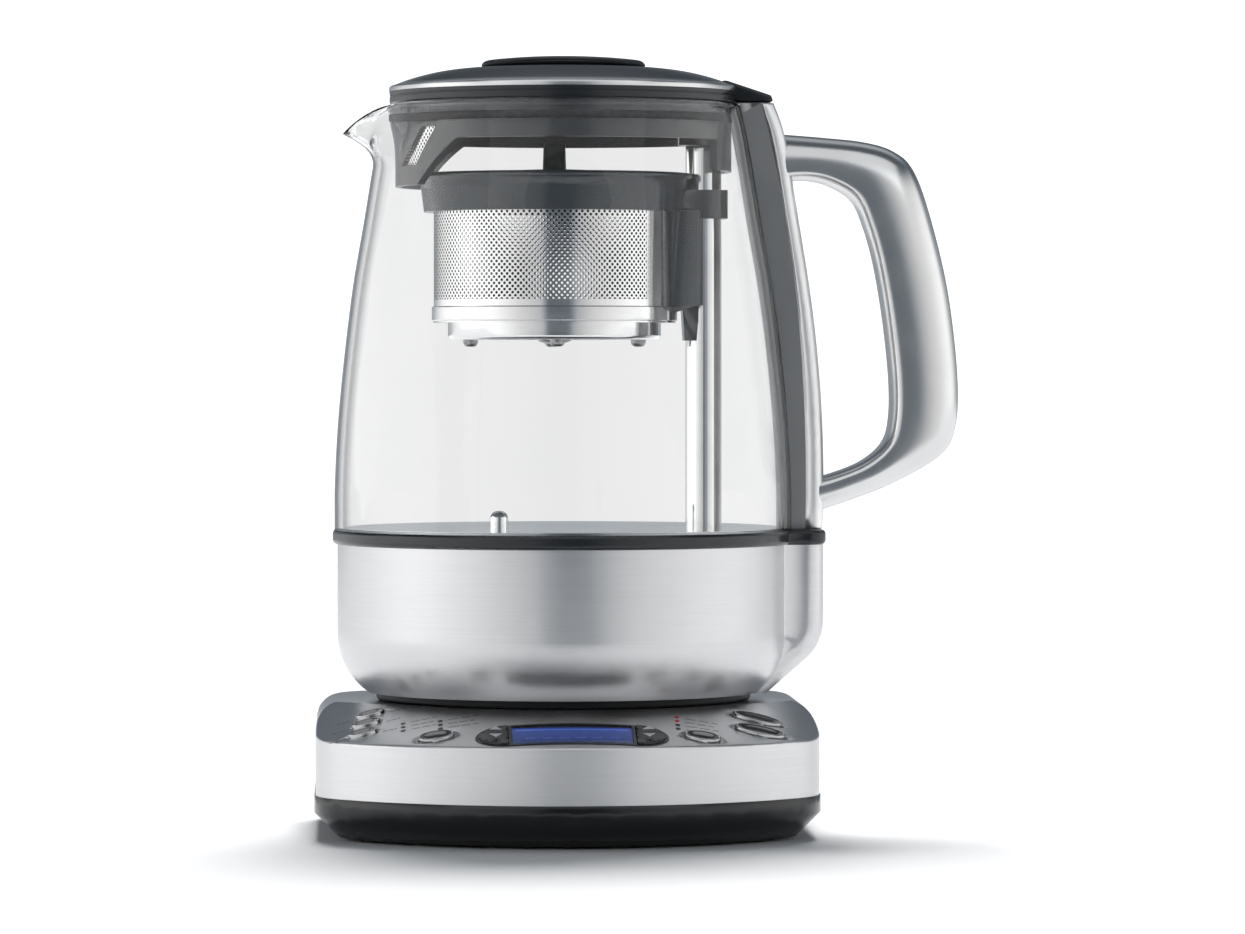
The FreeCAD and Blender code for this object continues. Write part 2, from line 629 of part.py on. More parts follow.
def base_tray():
    """Black lower half: chamfered tray with a lip inside the shell and screw pillars."""
    outer = base_block(0.0, TRAY_BOTTOM, SEAM_HEIGHT)
    outer = outer.makeChamfer(TRAY_CHAMFER, edges_at_height(outer, TRAY_BOTTOM))
    floor = TRAY_BOTTOM + TRAY_WALL
    hollow = base_block(TRAY_WALL, floor, SEAM_HEIGHT + 1.0)
    hollow = hollow.makeChamfer(TRAY_CHAMFER - TRAY_WALL / 2.0, edges_at_height(hollow, floor))
    lip_inset = SHELL_STEP + SHELL_WALL + 0.1
    lip = base_block(lip_inset, SEAM_HEIGHT - 3.0, SEAM_HEIGHT + 2.5)
    lip = lip.cut(base_block(lip_inset + 1.4, SEAM_HEIGHT - 4.0, SEAM_HEIGHT + 3.0))
    pillars = [rod(SCREW_RADIUS * 3.2, TRAY_BOTTOM, SEAM_HEIGHT + 3.0, place)
               for place in mirrored(TRAY_SCREWS)]
    hub_seat = tube(TOWER_RADIUS - 4.0, TOWER_RADIUS, floor - 0.5, DECK_HEIGHT - TOWER_DEPTH)
    rests = [block((x - 2.0, x + 2.0), (REST_SETBACK - BASE_FRONT, REST_SETBACK + 16.0 - BASE_FRONT),
                   (floor - 0.5, BOARD_HEIGHT)) for x in (-REST_SPACING, 0.0, REST_SPACING)]
    tray = outer.cut(hollow).fuse([lip, hub_seat] + pillars + rests)
    cuts = [rod(SCREW_RADIUS, 0.0, SEAM_HEIGHT + 4.0, place) for place in mirrored(TRAY_SCREWS)]
    cuts += [rod(SCREW_HEAD_RADIUS + 0.3, 0.0, TRAY_BOTTOM + 3.0, place)
             for place in mirrored(TRAY_SCREWS)]
    cuts += [rod(FOOT_PAD_RADIUS, 0.0, FOOT_PAD_DEPTH, place) for place in mirrored(FOOT_PADS)]
    return tray.cut(cuts)


def base_feet():
    """Four rubber pads, sunk into the tray and standing on the table."""
    pads = []
    for place in mirrored(FOOT_PADS):
        pad = rod(FOOT_PAD_RADIUS, 0.0, FOOT_PAD_DEPTH, place)
        pads.append(pad.makeFillet(0.4, edges_at_height(pad, 0.0)))
    return Part.makeCompound(pads)


def base_screws():
    """Four screws that hold tray and shell together."""
    head_seat = TRAY_BOTTOM + 3.0
    screws = []
    for place in mirrored(TRAY_SCREWS):
        shank = rod(SCREW_RADIUS, head_seat - 2.0, DECK_HEIGHT - 10.0, place)
        screws.append(shank.fuse(rod(SCREW_HEAD_RADIUS, head_seat - 2.0, head_seat, place)))
    return Part.makeCompound(screws)


def cord_inlet():
    """Rubber grommet in the back wall, with the bore for a mains cord."""
    wall_in = BASE_BACK - SHELL_STEP - SHELL_WALL
    stages = ((INLET_FLANGE_RADIUS, BASE_BACK - SHELL_STEP, INLET_FLANGE),
              (INLET_RADIUS, wall_in - 1.0, SHELL_WALL + 1.2),
              (INLET_FLANGE_RADIUS, wall_in - 2.2, 2.0),
              (INLET_RADIUS, wall_in - 10.0, 9.0))
    grommet = None
    for radius, start, length in stages:
        stage = Part.makeCylinder(radius, length, Vector(0, start, INLET_HEIGHT), Vector(0, 1, 0))
        grommet = stage if grommet is None else grommet.fuse(stage)
    bore = Part.makeCylinder(INLET_BORE_RADIUS, 30.0, Vector(0, wall_in - 12.0, INLET_HEIGHT),
                             Vector(0, 1, 0))
    return grommet.cut(bore).removeSplitter()


def power_connector():
    """Round tower that the jug turns on, with a centre hole and a ring groove for the contacts."""
    low = DECK_HEIGHT - TOWER_DEPTH
    shelf = DECK_HEIGHT - SHELL_WALL
    body = turned((0.0, low), line((TOWER_RADIUS, low)), line((TOWER_RADIUS, shelf - 2.0)),
                  line((TOWER_FLANGE_RADIUS, shelf - 2.0)), line((TOWER_FLANGE_RADIUS, shelf)),
                  line((TOWER_RADIUS, shelf)), line((TOWER_RADIUS, TOWER_TOP - 1.5)),
                  line((TOWER_RADIUS - 1.5, TOWER_TOP)), line((0.0, TOWER_TOP)))
    hole = rod(PIN_RADIUS + CONTACT_GAP, low + 3.0, TOWER_TOP + 1.0)
    groove = tube(BLADE_RADIUS - CONTACT_GAP, BLADE_RADIUS + BLADE_WALL + CONTACT_GAP,
                  low + 3.0, TOWER_TOP + 1.0)
    return body.cut([hole, groove])


def connector_contacts():
    """Brass contacts at the foot of the connector's hole and groove."""
    low = DECK_HEIGHT - TOWER_DEPTH + 3.0
    button = rod(PIN_RADIUS + CONTACT_GAP, low, low + 8.0)
    ring = tube(BLADE_RADIUS - CONTACT_GAP, BLADE_RADIUS + BLADE_WALL + CONTACT_GAP, low, low + 8.0)
    return Part.makeCompound([button, ring])


def oval_button(name):
    """Domed oval key with the flange that keeps it in the panel and the stem to its switch."""
    length, width = OVAL_BUTTONS[name][1]
    flange_top = -SHELL_WALL - 0.5
    cap = oval(length, width, flange_top - 1.0, BUTTON_RISE)
    cap = cap.makeFillet(BUTTON_RISE * 0.8, edges_at_height(cap, BUTTON_RISE))
    flange = oval(length + BUTTON_FLANGE, width + BUTTON_FLANGE, flange_top - 1.0, flange_top)
    place = panel_place(*button_place(name))
    tilt = BUTTON_STEM_RADIUS * math.sin(PANEL_SLOPE)
    stem_end = BOARD_TOP + SWITCH_HEIGHT + BUTTON_TRAVEL + FIT + tilt
    depth = (place.Base.z - stem_end) / math.cos(PANEL_SLOPE)
    stem = Part.makeCylinder(BUTTON_STEM_RADIUS, depth, Vector(0, 0, -depth))
    key = cap.fuse([flange, stem])
    key.Placement = place
    return key


def key_switches():
    """One square switch on the board under the stem of each oval button."""
    switches = []
    for name in OVAL_BUTTONS:
        place = panel_place(*button_place(name))
        down = place.Rotation.multVec(Vector(0, 0, -1))
        run = (place.Base.z - BOARD_TOP - SWITCH_HEIGHT) / -down.z
        foot = place.Base + down * run
        half = SWITCH_SIDE / 2.0
        switches.append(block((foot.x - half, foot.x + half), (foot.y - half, foot.y + half),
                              (BOARD_TOP, BOARD_TOP + SWITCH_HEIGHT)))
    return Part.makeCompound(switches)


def control_board():
    """Circuit board behind the panel, following the front of the shell."""
    board = base_block(8.0, BOARD_HEIGHT, BOARD_TOP)
    keep = block((-BASE_WIDTH, BASE_WIDTH), (-BASE_FRONT, -22.0), (BOARD_HEIGHT, BOARD_TOP))
    tower_room = rod(TOWER_FLANGE_RADIUS + 8.0, BOARD_HEIGHT - 1.0, BOARD_TOP + 1.0)
    return board.common(keep).cut(tower_room)


def power_board():
    """Board at the back of the tray that switches the mains to the connector."""
    floor = TRAY_BOTTOM + TRAY_WALL
    board = block((-38.0, 38.0), (34.0, 62.0), (floor + 4.0, floor + 5.6))
    relay = block((-28.0, -10.0), (38.0, 52.0), (floor + 5.6, floor + 20.0))
    choke = rod(7.0, floor + 5.6, floor + 17.0, (18.0, 46.0))
    legs = [rod(2.0, floor, floor + 4.0, place) for place in mirrored(((33.0, 38.0), (33.0, 58.0)))]
    return board.fuse([relay, choke] + legs)


def display_bezel():
    """Black surround of the display, with the openings for its window and its two keys."""
    bezel = below_panel(on_panel(display_outline(0.0, -5.0, 4.0), *DISPLAY_CENTRE), 0.3)
    opening = block((-WINDOW_HALF_LENGTH, WINDOW_HALF_LENGTH),
                    (-WINDOW_HALF_HEIGHT, WINDOW_HALF_HEIGHT), (-6.0, 5.0))
    pins = Part.makeCylinder(KEY_PIN_RADIUS + RUNNING, 2.0 * DISPLAY_HALF_LENGTH,
                             Vector(-DISPLAY_HALF_LENGTH, 0, -KEY_PIN_DEPTH), Vector(1, 0, 0))
    key_room = display_outline(DISPLAY_FRAME, -6.0, 5.0)
    middle = WINDOW_HALF_LENGTH + KEY_BAR
    key_room = key_room.cut(block((-middle, middle), (-20.0, 20.0), (-7.0, 6.0)))
    pins = pins.cut(block((-WINDOW_HALF_LENGTH, WINDOW_HALF_LENGTH), (-2.0, 2.0), (-6.0, 0.0)))
    pins = pins.common(display_outline(DISPLAY_FRAME / 2.0, -6.0, 5.0))
    cuts = [on_panel(cut, *DISPLAY_CENTRE) for cut in (opening, key_room, pins)]
    return bezel.cut(cuts)


def display_window():
    """Clear cover over the display."""
    gap = 0.1
    pane = block((-WINDOW_HALF_LENGTH + gap, WINDOW_HALF_LENGTH - gap),
                 (-WINDOW_HALF_HEIGHT + gap, WINDOW_HALF_HEIGHT - gap), (-WINDOW_THICKNESS, 3.0))
    return below_panel(on_panel(pane, *DISPLAY_CENTRE), 0.0)


def display_module():
    """Display glass with its lit backing, under the window."""
    gap = 0.2
    module = block((-WINDOW_HALF_LENGTH + gap, WINDOW_HALF_LENGTH - gap),
                   (-WINDOW_HALF_HEIGHT + gap, WINDOW_HALF_HEIGHT - gap),
                   (-5.0, -WINDOW_THICKNESS - 0.1))
    return on_panel(module, *DISPLAY_CENTRE)


def rocker_key(side_sign):
    """Rounded end key of the display, tilting up or down on a pin across the bezel."""
    top_rise = 0.9
    gap = DISPLAY_FRAME + BUTTON_GAP
    key = display_outline(gap, -4.0, 4.0)
    inner = WINDOW_HALF_LENGTH + KEY_BAR + BUTTON_GAP
    half = block((inner, BASE_WIDTH), (-20.0, 20.0), (-5.0, 5.0))
    pin_start = inner - BUTTON_GAP - KEY_BAR * 0.8
    pin_end = DISPLAY_HALF_LENGTH - DISPLAY_FRAME / 2.0 - 0.2
    pin = Part.makeCylinder(KEY_PIN_RADIUS, pin_end - pin_start,
                            Vector(pin_start, 0, -KEY_PIN_DEPTH), Vector(1, 0, 0))
    key = key.common(half)
    if side_sign < 0:
        key = key.mirror(Vector(), Vector(1, 0, 0))
        pin = pin.mirror(Vector(), Vector(1, 0, 0))
    key = below_panel(on_panel(key, *DISPLAY_CENTRE), top_rise)
    return key.fuse(on_panel(pin, *DISPLAY_CENTRE))


def indicator_lights():
    """Light pipes that show beside the printed list of settings."""
    pipes = [on_panel(Part.makeCylinder(LIGHT_RADIUS, 5.2, Vector(0, 0, -5.0)), x, y)
             for x, y in light_places()]
    return Part.makeCompound(pipes)


# ---------------------------------------------------------------- jug
def casing_form(inset, low, high):
    """Solid form of the casing: a drum rounded in at the bottom, with the rib for the handle."""
    turn = CASING_TURN_RADIUS - inset
    turn_x = CASING_RADIUS - CASING_TURN_RADIUS

    def rounded_in(height):
        return turn_x + math.sqrt(turn ** 2 - (CASING_TURN_HEIGHT - height) ** 2)

    middle = (low + CASING_TURN_HEIGHT) / 2.0
    drum = turned((0.0, low), line((rounded_in(low), low)),
                  arc((rounded_in(middle), middle), (CASING_RADIUS - inset, CASING_TURN_HEIGHT)),
                  line((CASING_RADIUS - inset, high)), line((0.0, high)))
    rib_turn = RIB_TURN_RADIUS - inset
    rib_x = RIB_REACH - RIB_TURN_RADIUS

    def round_rib(bearing):
        return (rib_x + rib_turn * math.cos(bearing), RIB_TURN_HEIGHT - rib_turn * math.sin(bearing))

    slant_x, slant_height = round_rib(RIB_SLANT)
    low_x = slant_x - (slant_height - low) * math.tan(RIB_SLANT)
    root = CASING_RADIUS * 0.7
    rib_face = outline(side, (root, low), line((low_x, low)), line((slant_x, slant_height)),
                       arc(round_rib(RIB_SLANT / 2.0), (RIB_REACH - inset, RIB_TURN_HEIGHT)),
                       line((RIB_REACH - inset, high)), line((root, high)))
    rib = crosswise(rib_face, RIB_HALF_WIDTH - inset)
    long_edges = [edge for edge in rib.Edges if edge.BoundBox.YLength < 1e-3
                  and edge.BoundBox.XMin > root + 1.0 and edge.BoundBox.ZLength > 1.0]
    rib = rib.makeFillet(RIB_CORNER - inset, long_edges)
    return drum.fuse(rib).removeSplitter()


def jug_casing():
    """Brushed steel casing round the jug's electrics."""
    outer = casing_form(0.0, CASING_BOTTOM, CASING_TOP)
    inner = casing_form(CASING_WALL, CASING_BOTTOM - 1.0, CASING_TOP + 1.0)
    return outer.cut(inner)


def collar_block(inset, low, high):
    """Plan of the collar: a circle with the foot that carries spine and handle."""
    radius = CASING_RADIUS + COLLAR_LIP - inset
    reach = RIB_REACH + COLLAR_LIP / 2.0 - inset
    half = RIB_HALF_WIDTH + COLLAR_LIP / 2.0 - inset
    foot = block((CASING_RADIUS * 0.7, reach), (-half, half), (low, high))
    outer_edges = [edge for edge in upright_edges(foot) if edge.BoundBox.XMax > reach - 1.0]
    foot = foot.makeFillet(RIB_CORNER - inset, outer_edges)
    return rod(radius, low, high).fuse(foot).removeSplitter()


def jug_collar():
    """Black ring that joins glass and casing and seats the floor plate and the gasket."""
    ring = collar_block(0.0, CASING_TOP, COLLAR_TOP)
    rim = edges_at_height(ring, CASING_TOP) + edges_at_height(ring, COLLAR_TOP)
    ring = ring.makeFillet(1.5, rim)
    gasket_room = tube(GLASS_FOOT_RADIUS - GLASS_WALL - 0.3, GLASS_FOOT_RADIUS + 0.1,
                       GLASS_FOOT - GASKET, COLLAR_TOP + 1.0)
    ledge = rod(FLOOR_RADIUS + 0.1, FLOOR_SEAT, COLLAR_TOP + 1.0)
    return ring.cut([rod(COLLAR_BORE, CASING_TOP - 1.0, COLLAR_TOP + 1.0), ledge, gasket_room])


def glass_gasket():
    """Silicone ring that the glass stands on."""
    return tube(GLASS_FOOT_RADIUS - GLASS_WALL - 0.2, GLASS_FOOT_RADIUS, GLASS_FOOT - GASKET,
                GLASS_FOOT)


def glass_form(inset, low, high):
    """Solid form of the glass: upright foot, leaning wall and a neck that draws in at the rim."""
    leaning = [(radius - inset, height) for radius, height in GLASS_PROFILE]
    rim = (RIM_RADIUS - inset, RIM_HEIGHT)
    foot = GLASS_FOOT_RADIUS - inset
    return turned((0.0, low), line((foot, low)), line((foot, GLASS_STRAIGHT_TOP)),
                  curve(*leaning, rim), line((rim[0], high)), line((0.0, high)))


def spout_form(inset):
    """Pulled spout: a channel that narrows from the glass wall out to the lip."""
    wires = []
    for x, lip, depth, half in SPOUT_SECTIONS:
        section = Part.Ellipse(Vector(), max(depth, half - inset), min(depth, half - inset))
        if depth < half - inset:
            turn = Rotation(Vector(0, 1, 0), Vector(0, 0, 1), Vector(1, 0, 0), "ZXY")
        else:
            turn = Rotation(Vector(0, 0, 1), Vector(0, -1, 0), Vector(1, 0, 0), "ZXY")
        wire = Part.Wire([section.toShape()])
        wire.Placement = Placement(Vector(x, 0, lip + inset), turn)
        wires.append(wire)
    return Part.makeLoft(wires, True, False)


def glass_jug():
    """Glass jug, open at both ends, with its pulled spout."""
    outer = glass_form(0.0, GLASS_FOOT, RIM_HEIGHT).fuse(spout_form(0.0))
    hollow = glass_form(GLASS_WALL, GLASS_FOOT - 1.0, RIM_HEIGHT + 10.0)
    tip_x, tip_lip = SPOUT_SECTIONS[-1][:2]
    lip_points = [(x, lip) for x, lip, _, _ in SPOUT_SECTIONS[2:]]
    above = RIM_HEIGHT + 40.0
    over = outline(side, (-RIM_RADIUS * 0.7, RIM_HEIGHT), line((-RIM_RADIUS, RIM_HEIGHT)),
                   curve(*lip_points), line((tip_x - 20.0, tip_lip)),
                   line((tip_x - 20.0, above)), line((-RIM_RADIUS * 0.7, above)))
    jug = outer.cut(hollow)
    jug = jug.cut(spout_form(GLASS_WALL * 0.8))
    return jug.cut(crosswise(over, RIM_RADIUS))


def floor_plate():
    """Steel floor of the jug."""
    plate = rod(FLOOR_RADIUS, FLOOR_SEAT, FLOOR_TOP)
    below, above = FLOOR_SEAT - 1.0, FLOOR_TOP + 1.0
    return plate.cut([rod(SCREW_SHAFT_RADIUS + 1.0, below, above, (POST_X, 0.0)),
                      rod(PROBE_RADIUS, below, above, PROBE_PLACE)])


def temperature_probe():
    """Steel bulb that stands up through the floor plate."""
    tip = rod(PROBE_RADIUS, FLOOR_SEAT - 8.0, FLOOR_TOP + PROBE_RISE, PROBE_PLACE)
    return tip.makeFillet(PROBE_RADIUS * 0.9, edges_at_height(tip, FLOOR_TOP + PROBE_RISE))


def heating_element():
    """Heating tube brazed under the floor plate, open towards the post, with upright ends."""
    level = FLOOR_SEAT - ELEMENT_TUBE
    start = (360.0 - ELEMENT_SWEEP) / 2.0
    torus = Part.makeTorus(ELEMENT_RADIUS, ELEMENT_TUBE, Vector(0, 0, level), Vector(0, 0, 1),
                           -180, 180, ELEMENT_SWEEP)
    torus.rotate(Vector(0, 0, level), Vector(0, 0, 1), start)
    turn = math.radians(start)
    ends = [rod(ELEMENT_TUBE, level - 14.0, level,
                (ELEMENT_RADIUS * math.cos(sign * turn), ELEMENT_RADIUS * math.sin(sign * turn)))
            for sign in (1.0, -1.0)]
    return torus.fuse(ends)


def jug_foot():
    """Black bottom cover that the jug stands on, with the opening for its power socket."""
    outer = JUG_FOOT_RADIUS
    inner = outer - JUG_FOOT_WALL
    opening = SOCKET_RADIUS + 0.1
    plate_low = FOOT_FLOOR - JUG_FOOT_PLATE
    cover = turned((opening, plate_low), line((inner - 8.0, plate_low)),
                   line((inner, JUG_FOOT_BOTTOM)), line((outer - 1.2, JUG_FOOT_BOTTOM)),
                   arc((outer - 0.35, JUG_FOOT_BOTTOM + 0.35), (outer, JUG_FOOT_BOTTOM + 1.2)),
                   line((outer, FOOT_TOP)), line((inner, FOOT_TOP)), line((inner, FOOT_FLOOR)),
                   line((opening, FOOT_FLOOR)))
    seat = FOOT_FLOOR - FOOT_SCREW_SEAT
    holes = [rod(SCREW_RADIUS, JUG_FOOT_BOTTOM, FOOT_TOP, place) for place in foot_screw_places()]
    holes += [rod(SCREW_HEAD_RADIUS + SCREW_HEAD_ROOM, JUG_FOOT_BOTTOM, seat, place)
              for place in foot_screw_places()]
    return cover.cut(holes)


def foot_screw_places():
    """Three screws on a circle round the socket."""
    circle = (JUG_FOOT_RADIUS + SOCKET_RADIUS) / 2.0
    return [(circle * math.cos(math.radians(bearing)), circle * math.sin(math.radians(bearing)))
            for bearing in (60.0, 180.0, 300.0)]


def foot_screws():
    """Screws that draw the foot up to the chassis, their heads let into its plate."""
    seat = FOOT_FLOOR - FOOT_SCREW_SEAT
    low = seat - SCREW_HEAD_HEIGHT
    screws = []
    for place in foot_screw_places():
        shank = rod(SCREW_RADIUS, low, CHASSIS_TOP - 0.5, place)
        screws.append(shank.fuse(rod(SCREW_HEAD_RADIUS, low, seat, place)))
    return Part.makeCompound(screws)


def jug_socket():
    """Power socket in the jug's foot: a cup over the tower, with a centre pin and a ring blade."""
    roof = TOWER_TOP + 0.6
    blade_low = roof - 6.0
    cup = turned((TOWER_RADIUS + 0.6, SOCKET_BOTTOM), line((SOCKET_RADIUS, SOCKET_BOTTOM)),
                 line((SOCKET_RADIUS, SOCKET_TOP)), line((0.0, SOCKET_TOP)), line((0.0, roof)),
                 line((TOWER_RADIUS + 0.6, roof)))
    pin = rod(PIN_RADIUS, blade_low, roof)
    blade = tube(BLADE_RADIUS, BLADE_RADIUS + BLADE_WALL, blade_low, roof)
    return cup.fuse([pin, blade])


def jug_chassis():
    """Plastic frame on the foot that carries the motor and surrounds the socket."""
    disc = tube(SOCKET_RADIUS + FIT, CHASSIS_RADIUS, FOOT_TOP, CHASSIS_TOP)
    bosses = [rod(SCREW_RADIUS * 3.0, FOOT_FLOOR, FOOT_TOP, place) for place in foot_screw_places()]
    cradle = tube(MOTOR_RADIUS + 0.1, MOTOR_RADIUS + 2.0, CHASSIS_TOP, CHASSIS_TOP + 10.0,
                  (POST_X, 0.0))
    frame = disc.fuse(bosses + [cradle])
    holes = [rod(SCREW_RADIUS, FOOT_FLOOR - 1.0, CHASSIS_TOP - 0.5, place)
             for place in foot_screw_places()]
    return frame.cut(holes + [rod(SOCKET_RADIUS + FIT, FOOT_TOP - 1.0, CHASSIS_TOP + 20.0)])


def gear_motor():
    """Motor with its gearbox, upright under the post."""
    shoulder = CHASSIS_TOP + MOTOR_HEIGHT
    return turned((0.0, CHASSIS_TOP), line((MOTOR_RADIUS, CHASSIS_TOP)),
                  line((MOTOR_RADIUS, shoulder)), line((GEARBOX_RADIUS, shoulder)),
                  line((GEARBOX_RADIUS, GEARBOX_TOP)), line((0.0, GEARBOX_TOP)),
                  centre=(POST_X, 0.0))


def shaft_bush():
    """Seal and bearing of the lead screw under the floor plate."""
    return tube(SCREW_SHAFT_RADIUS + RUNNING, COUPLING_RADIUS + 1.5, FLOOR_SEAT - 3.0, FLOOR_SEAT,
                (POST_X, 0.0))


def post_tube():
    """Polished tube from the floor plate up to the lid."""
    return tube(POST_BORE, POST_RADIUS, FLOOR_TOP, POST_TOP, (POST_X, 0.0))


def post_cap():
    """Plug in the top of the post, with the upper bearing of the lead screw."""
    plug_low = POST_TOP - 5.0
    plug = turned((0.0, plug_low), line((POST_BORE, plug_low)), line((POST_BORE, POST_TOP)),
                  line((POST_RADIUS, POST_TOP)), line((POST_RADIUS, POST_TOP + POST_CAP)),
                  line((0.0, POST_TOP + POST_CAP)), centre=(POST_X, 0.0))
    return plug.cut(rod(SCREW_SHAFT_RADIUS + RUNNING, plug_low - 1.0, plug_low + 3.0, (POST_X, 0.0)))


def lead_screw():
    """Screw in the post, with the coupling that joins it to the gearbox."""
    low = GEARBOX_TOP + FIT
    shaft = rod(SCREW_SHAFT_RADIUS, low, POST_TOP - 2.5, (POST_X, 0.0))
    coupling = rod(COUPLING_RADIUS, low, FLOOR_SEAT - 3.0 - FIT, (POST_X, 0.0))
    return coupling.fuse(shaft)


def magnet_carriage():
    """Nut with magnets that rides the screw and draws the basket along outside the post."""
    low = ARM_MIDDLE - CARRIAGE_LENGTH / 2.0
    nut = tube(SCREW_SHAFT_RADIUS + RUNNING, POST_BORE - RUNNING, low, low + CARRIAGE_LENGTH,
               (POST_X, 0.0))
    return nut


# ---------------------------------------------------------------- spine and handle
def spine_band(points, reach):
    """Everything between a line near the jug's axis and a spine curve."""
    back = POST_X + reach
    return outline(side, (back, points[0][1]), line(points[0]), curve(*points[1:]),
                   line((back, points[-1][1])))


def glass_clearance():
    """Room that the glass takes from the pieces outside it."""
    return glass_form(-FIT / 2.0, GLASS_FOOT - 5.0, RIM_HEIGHT + 5.0)


def spine_backing():
    """Black strip that fills the gap between glass and spine."""
    return crosswise(spine_band(SPINE_INNER, 5.0), SPINE_HALF_WIDTH).cut(glass_clearance())


def spine_form():
    """Full form of spine with backing, its outer edges rounded."""
    body = crosswise(spine_band(SPINE_OUTER, 5.0), SPINE_HALF_WIDTH)
    limit = min(x for x, _ in SPINE_OUTER) - 1.0
    outer_edges = [edge for edge in body.Edges
                   if edge.BoundBox.YLength < 1e-3 and edge.BoundBox.XMin > limit
                   and edge.BoundBox.ZLength > 20.0]
    return body.makeFillet(SPINE_EDGE, outer_edges)


def spine_strip():
    """Polished strip up the handle side of the jug."""
    inner = crosswise(spine_band(SPINE_INNER, 0.0), SPINE_HALF_WIDTH + 1.0)
    return spine_form().cut([inner, glass_clearance()])


def side_edges(loop, low, high):
    """Side edges of the handle whose outermost point lies between two distances from the axis."""
    return [edge for edge in loop.Edges
            if edge.BoundBox.YLength < 1e-3 and edge.BoundBox.XLength > 20.0
            and abs(abs(edge.BoundBox.YMin) - HANDLE_HALF_WIDTH) < 1e-3
            and low < edge.BoundBox.XMax < high]


def handle():
    """Polished loop handle, rounded along its edges, standing off the spine."""
    face = outline(side, HANDLE_OUTER[0], curve(*HANDLE_OUTER[1:]), line(HANDLE_INNER[0]),
                   curve(*HANDLE_INNER[1:]))
    loop = crosswise(face, HANDLE_HALF_WIDTH)
    split = max(x for x, _ in HANDLE_INNER) + 1.0
    loop = loop.makeFillet(HANDLE_OUTER_EDGE, side_edges(loop, split, HANDLE_REACH + 1.0))
    loop = loop.makeFillet(HANDLE_INNER_EDGE, side_edges(loop, 0.0, split))
    solid_spine = crosswise(spine_band(SPINE_OUTER, 5.0), HANDLE_HALF_WIDTH + 5.0)
    return loop.cut(solid_spine)


# ---------------------------------------------------------------- basket
def around_basket(start, *steps):
    """Solid of revolution about the basket's axis."""
    return turned(start, *steps, centre=(BASKET_X, 0.0))


def basket_carrier():
    """Dark collar that holds the basket, with the arm and guide that slide on the post."""
    rim_low = CARRIER_TOP - CARRIER_RIM
    seat = BASKET_LID_RADIUS + FIT
    bore = WALL_RADIUS + 0.1
    collar = around_basket((bore, CARRIER_BOTTOM), line((CARRIER_FOOT_RADIUS, CARRIER_BOTTOM)),
                           line((CARRIER_RIM_RADIUS - 1.4, rim_low)),
                           line((CARRIER_RIM_RADIUS, rim_low + 0.6)),
                           line((CARRIER_RIM_RADIUS, CARRIER_TOP - 0.8)),
                           line((CARRIER_RIM_RADIUS - 0.8, CARRIER_TOP)), line((seat, CARRIER_TOP)),
                           line((seat, BASKET_LID_SEAT)), line((bore - 1.6, BASKET_LID_SEAT)),
                           line((bore - 1.6, BASKET_LID_SEAT - 1.4)), line((bore, BASKET_LID_SEAT - 1.4)))
    arm = block((BASKET_X + bore, POST_X), (-ARM_HALF_WIDTH, ARM_HALF_WIDTH), (ARM_BOTTOM, ARM_TOP))
    nose = rod(ARM_HALF_WIDTH, ARM_BOTTOM, ARM_TOP, (POST_X, 0.0))
    flat = POST_X + POST_RADIUS + 1.6
    nose = nose.common(block((POST_X - 1.0, flat), (-ARM_HALF_WIDTH, ARM_HALF_WIDTH),
                             (ARM_BOTTOM, ARM_TOP)))
    inner_x = BASKET_X + bore - 6.0
    drop = outline(side, (inner_x, CARRIER_BOTTOM + 0.5), line((GUIDE_REACH, CARRIER_BOTTOM + 0.5)),
                   line((GUIDE_REACH, GUIDE_BOTTOM + GUIDE_SLANT)), line((inner_x, GUIDE_BOTTOM)))
    guide = crosswise(drop, GUIDE_HALF_WIDTH)
    tab_face = outline(side, (POST_X - POST_RADIUS - 1.4, GUIDE_BOTTOM + GUIDE_SLANT),
                       line((GUIDE_REACH, GUIDE_BOTTOM + GUIDE_SLANT)),
                       line((GUIDE_REACH - 1.2, GUIDE_BOTTOM - TAB_DROP)),
                       line((POST_X - POST_RADIUS - 0.7, GUIDE_BOTTOM - TAB_DROP)))
    tab = crosswise(tab_face, ARM_HALF_WIDTH * 0.6)
    body = collar.fuse([arm, nose, guide, tab])
    cuts = [rod(POST_RADIUS + POST_SLIDE, GUIDE_BOTTOM - 20.0, CARRIER_TOP + 5.0, (POST_X, 0.0)),
            rod(bore, GUIDE_BOTTOM - 20.0, BASKET_LID_SEAT - 1.4, (BASKET_X, 0.0)),
            rod(seat, BASKET_LID_SEAT, CARRIER_TOP + 5.0, (BASKET_X, 0.0)),
            rod(BAND_RADIUS + BAND_BEAD + 0.1, GUIDE_BOTTOM - 20.0, BAND_TOP + 0.1, (BASKET_X, 0.0))]
    cuts += [rod(MAGNET_RADIUS, ARM_BOTTOM + 1.0, ARM_TOP - 1.0, place) for place in magnet_places()]
    return body.cut(cuts)


def magnet_places():
    """Places of the magnets in the arm, one each side of the post."""
    return [(POST_X, sign * (POST_RADIUS + ARM_HALF_WIDTH) / 2.0) for sign in (1.0, -1.0)]


def basket_magnets():
    """Magnets that the carriage in the post pulls on."""
    return Part.makeCompound([rod(MAGNET_RADIUS, ARM_BOTTOM + 1.0, ARM_TOP - 1.0, place)
                              for place in magnet_places()])


def basket_wall():
    """Perforated steel wall of the basket."""
    return tube(WALL_RADIUS - WALL_THICKNESS, WALL_RADIUS, BAND_TOP - 4.0, BASKET_LID_SEAT - 1.4,
                (BASKET_X, 0.0))


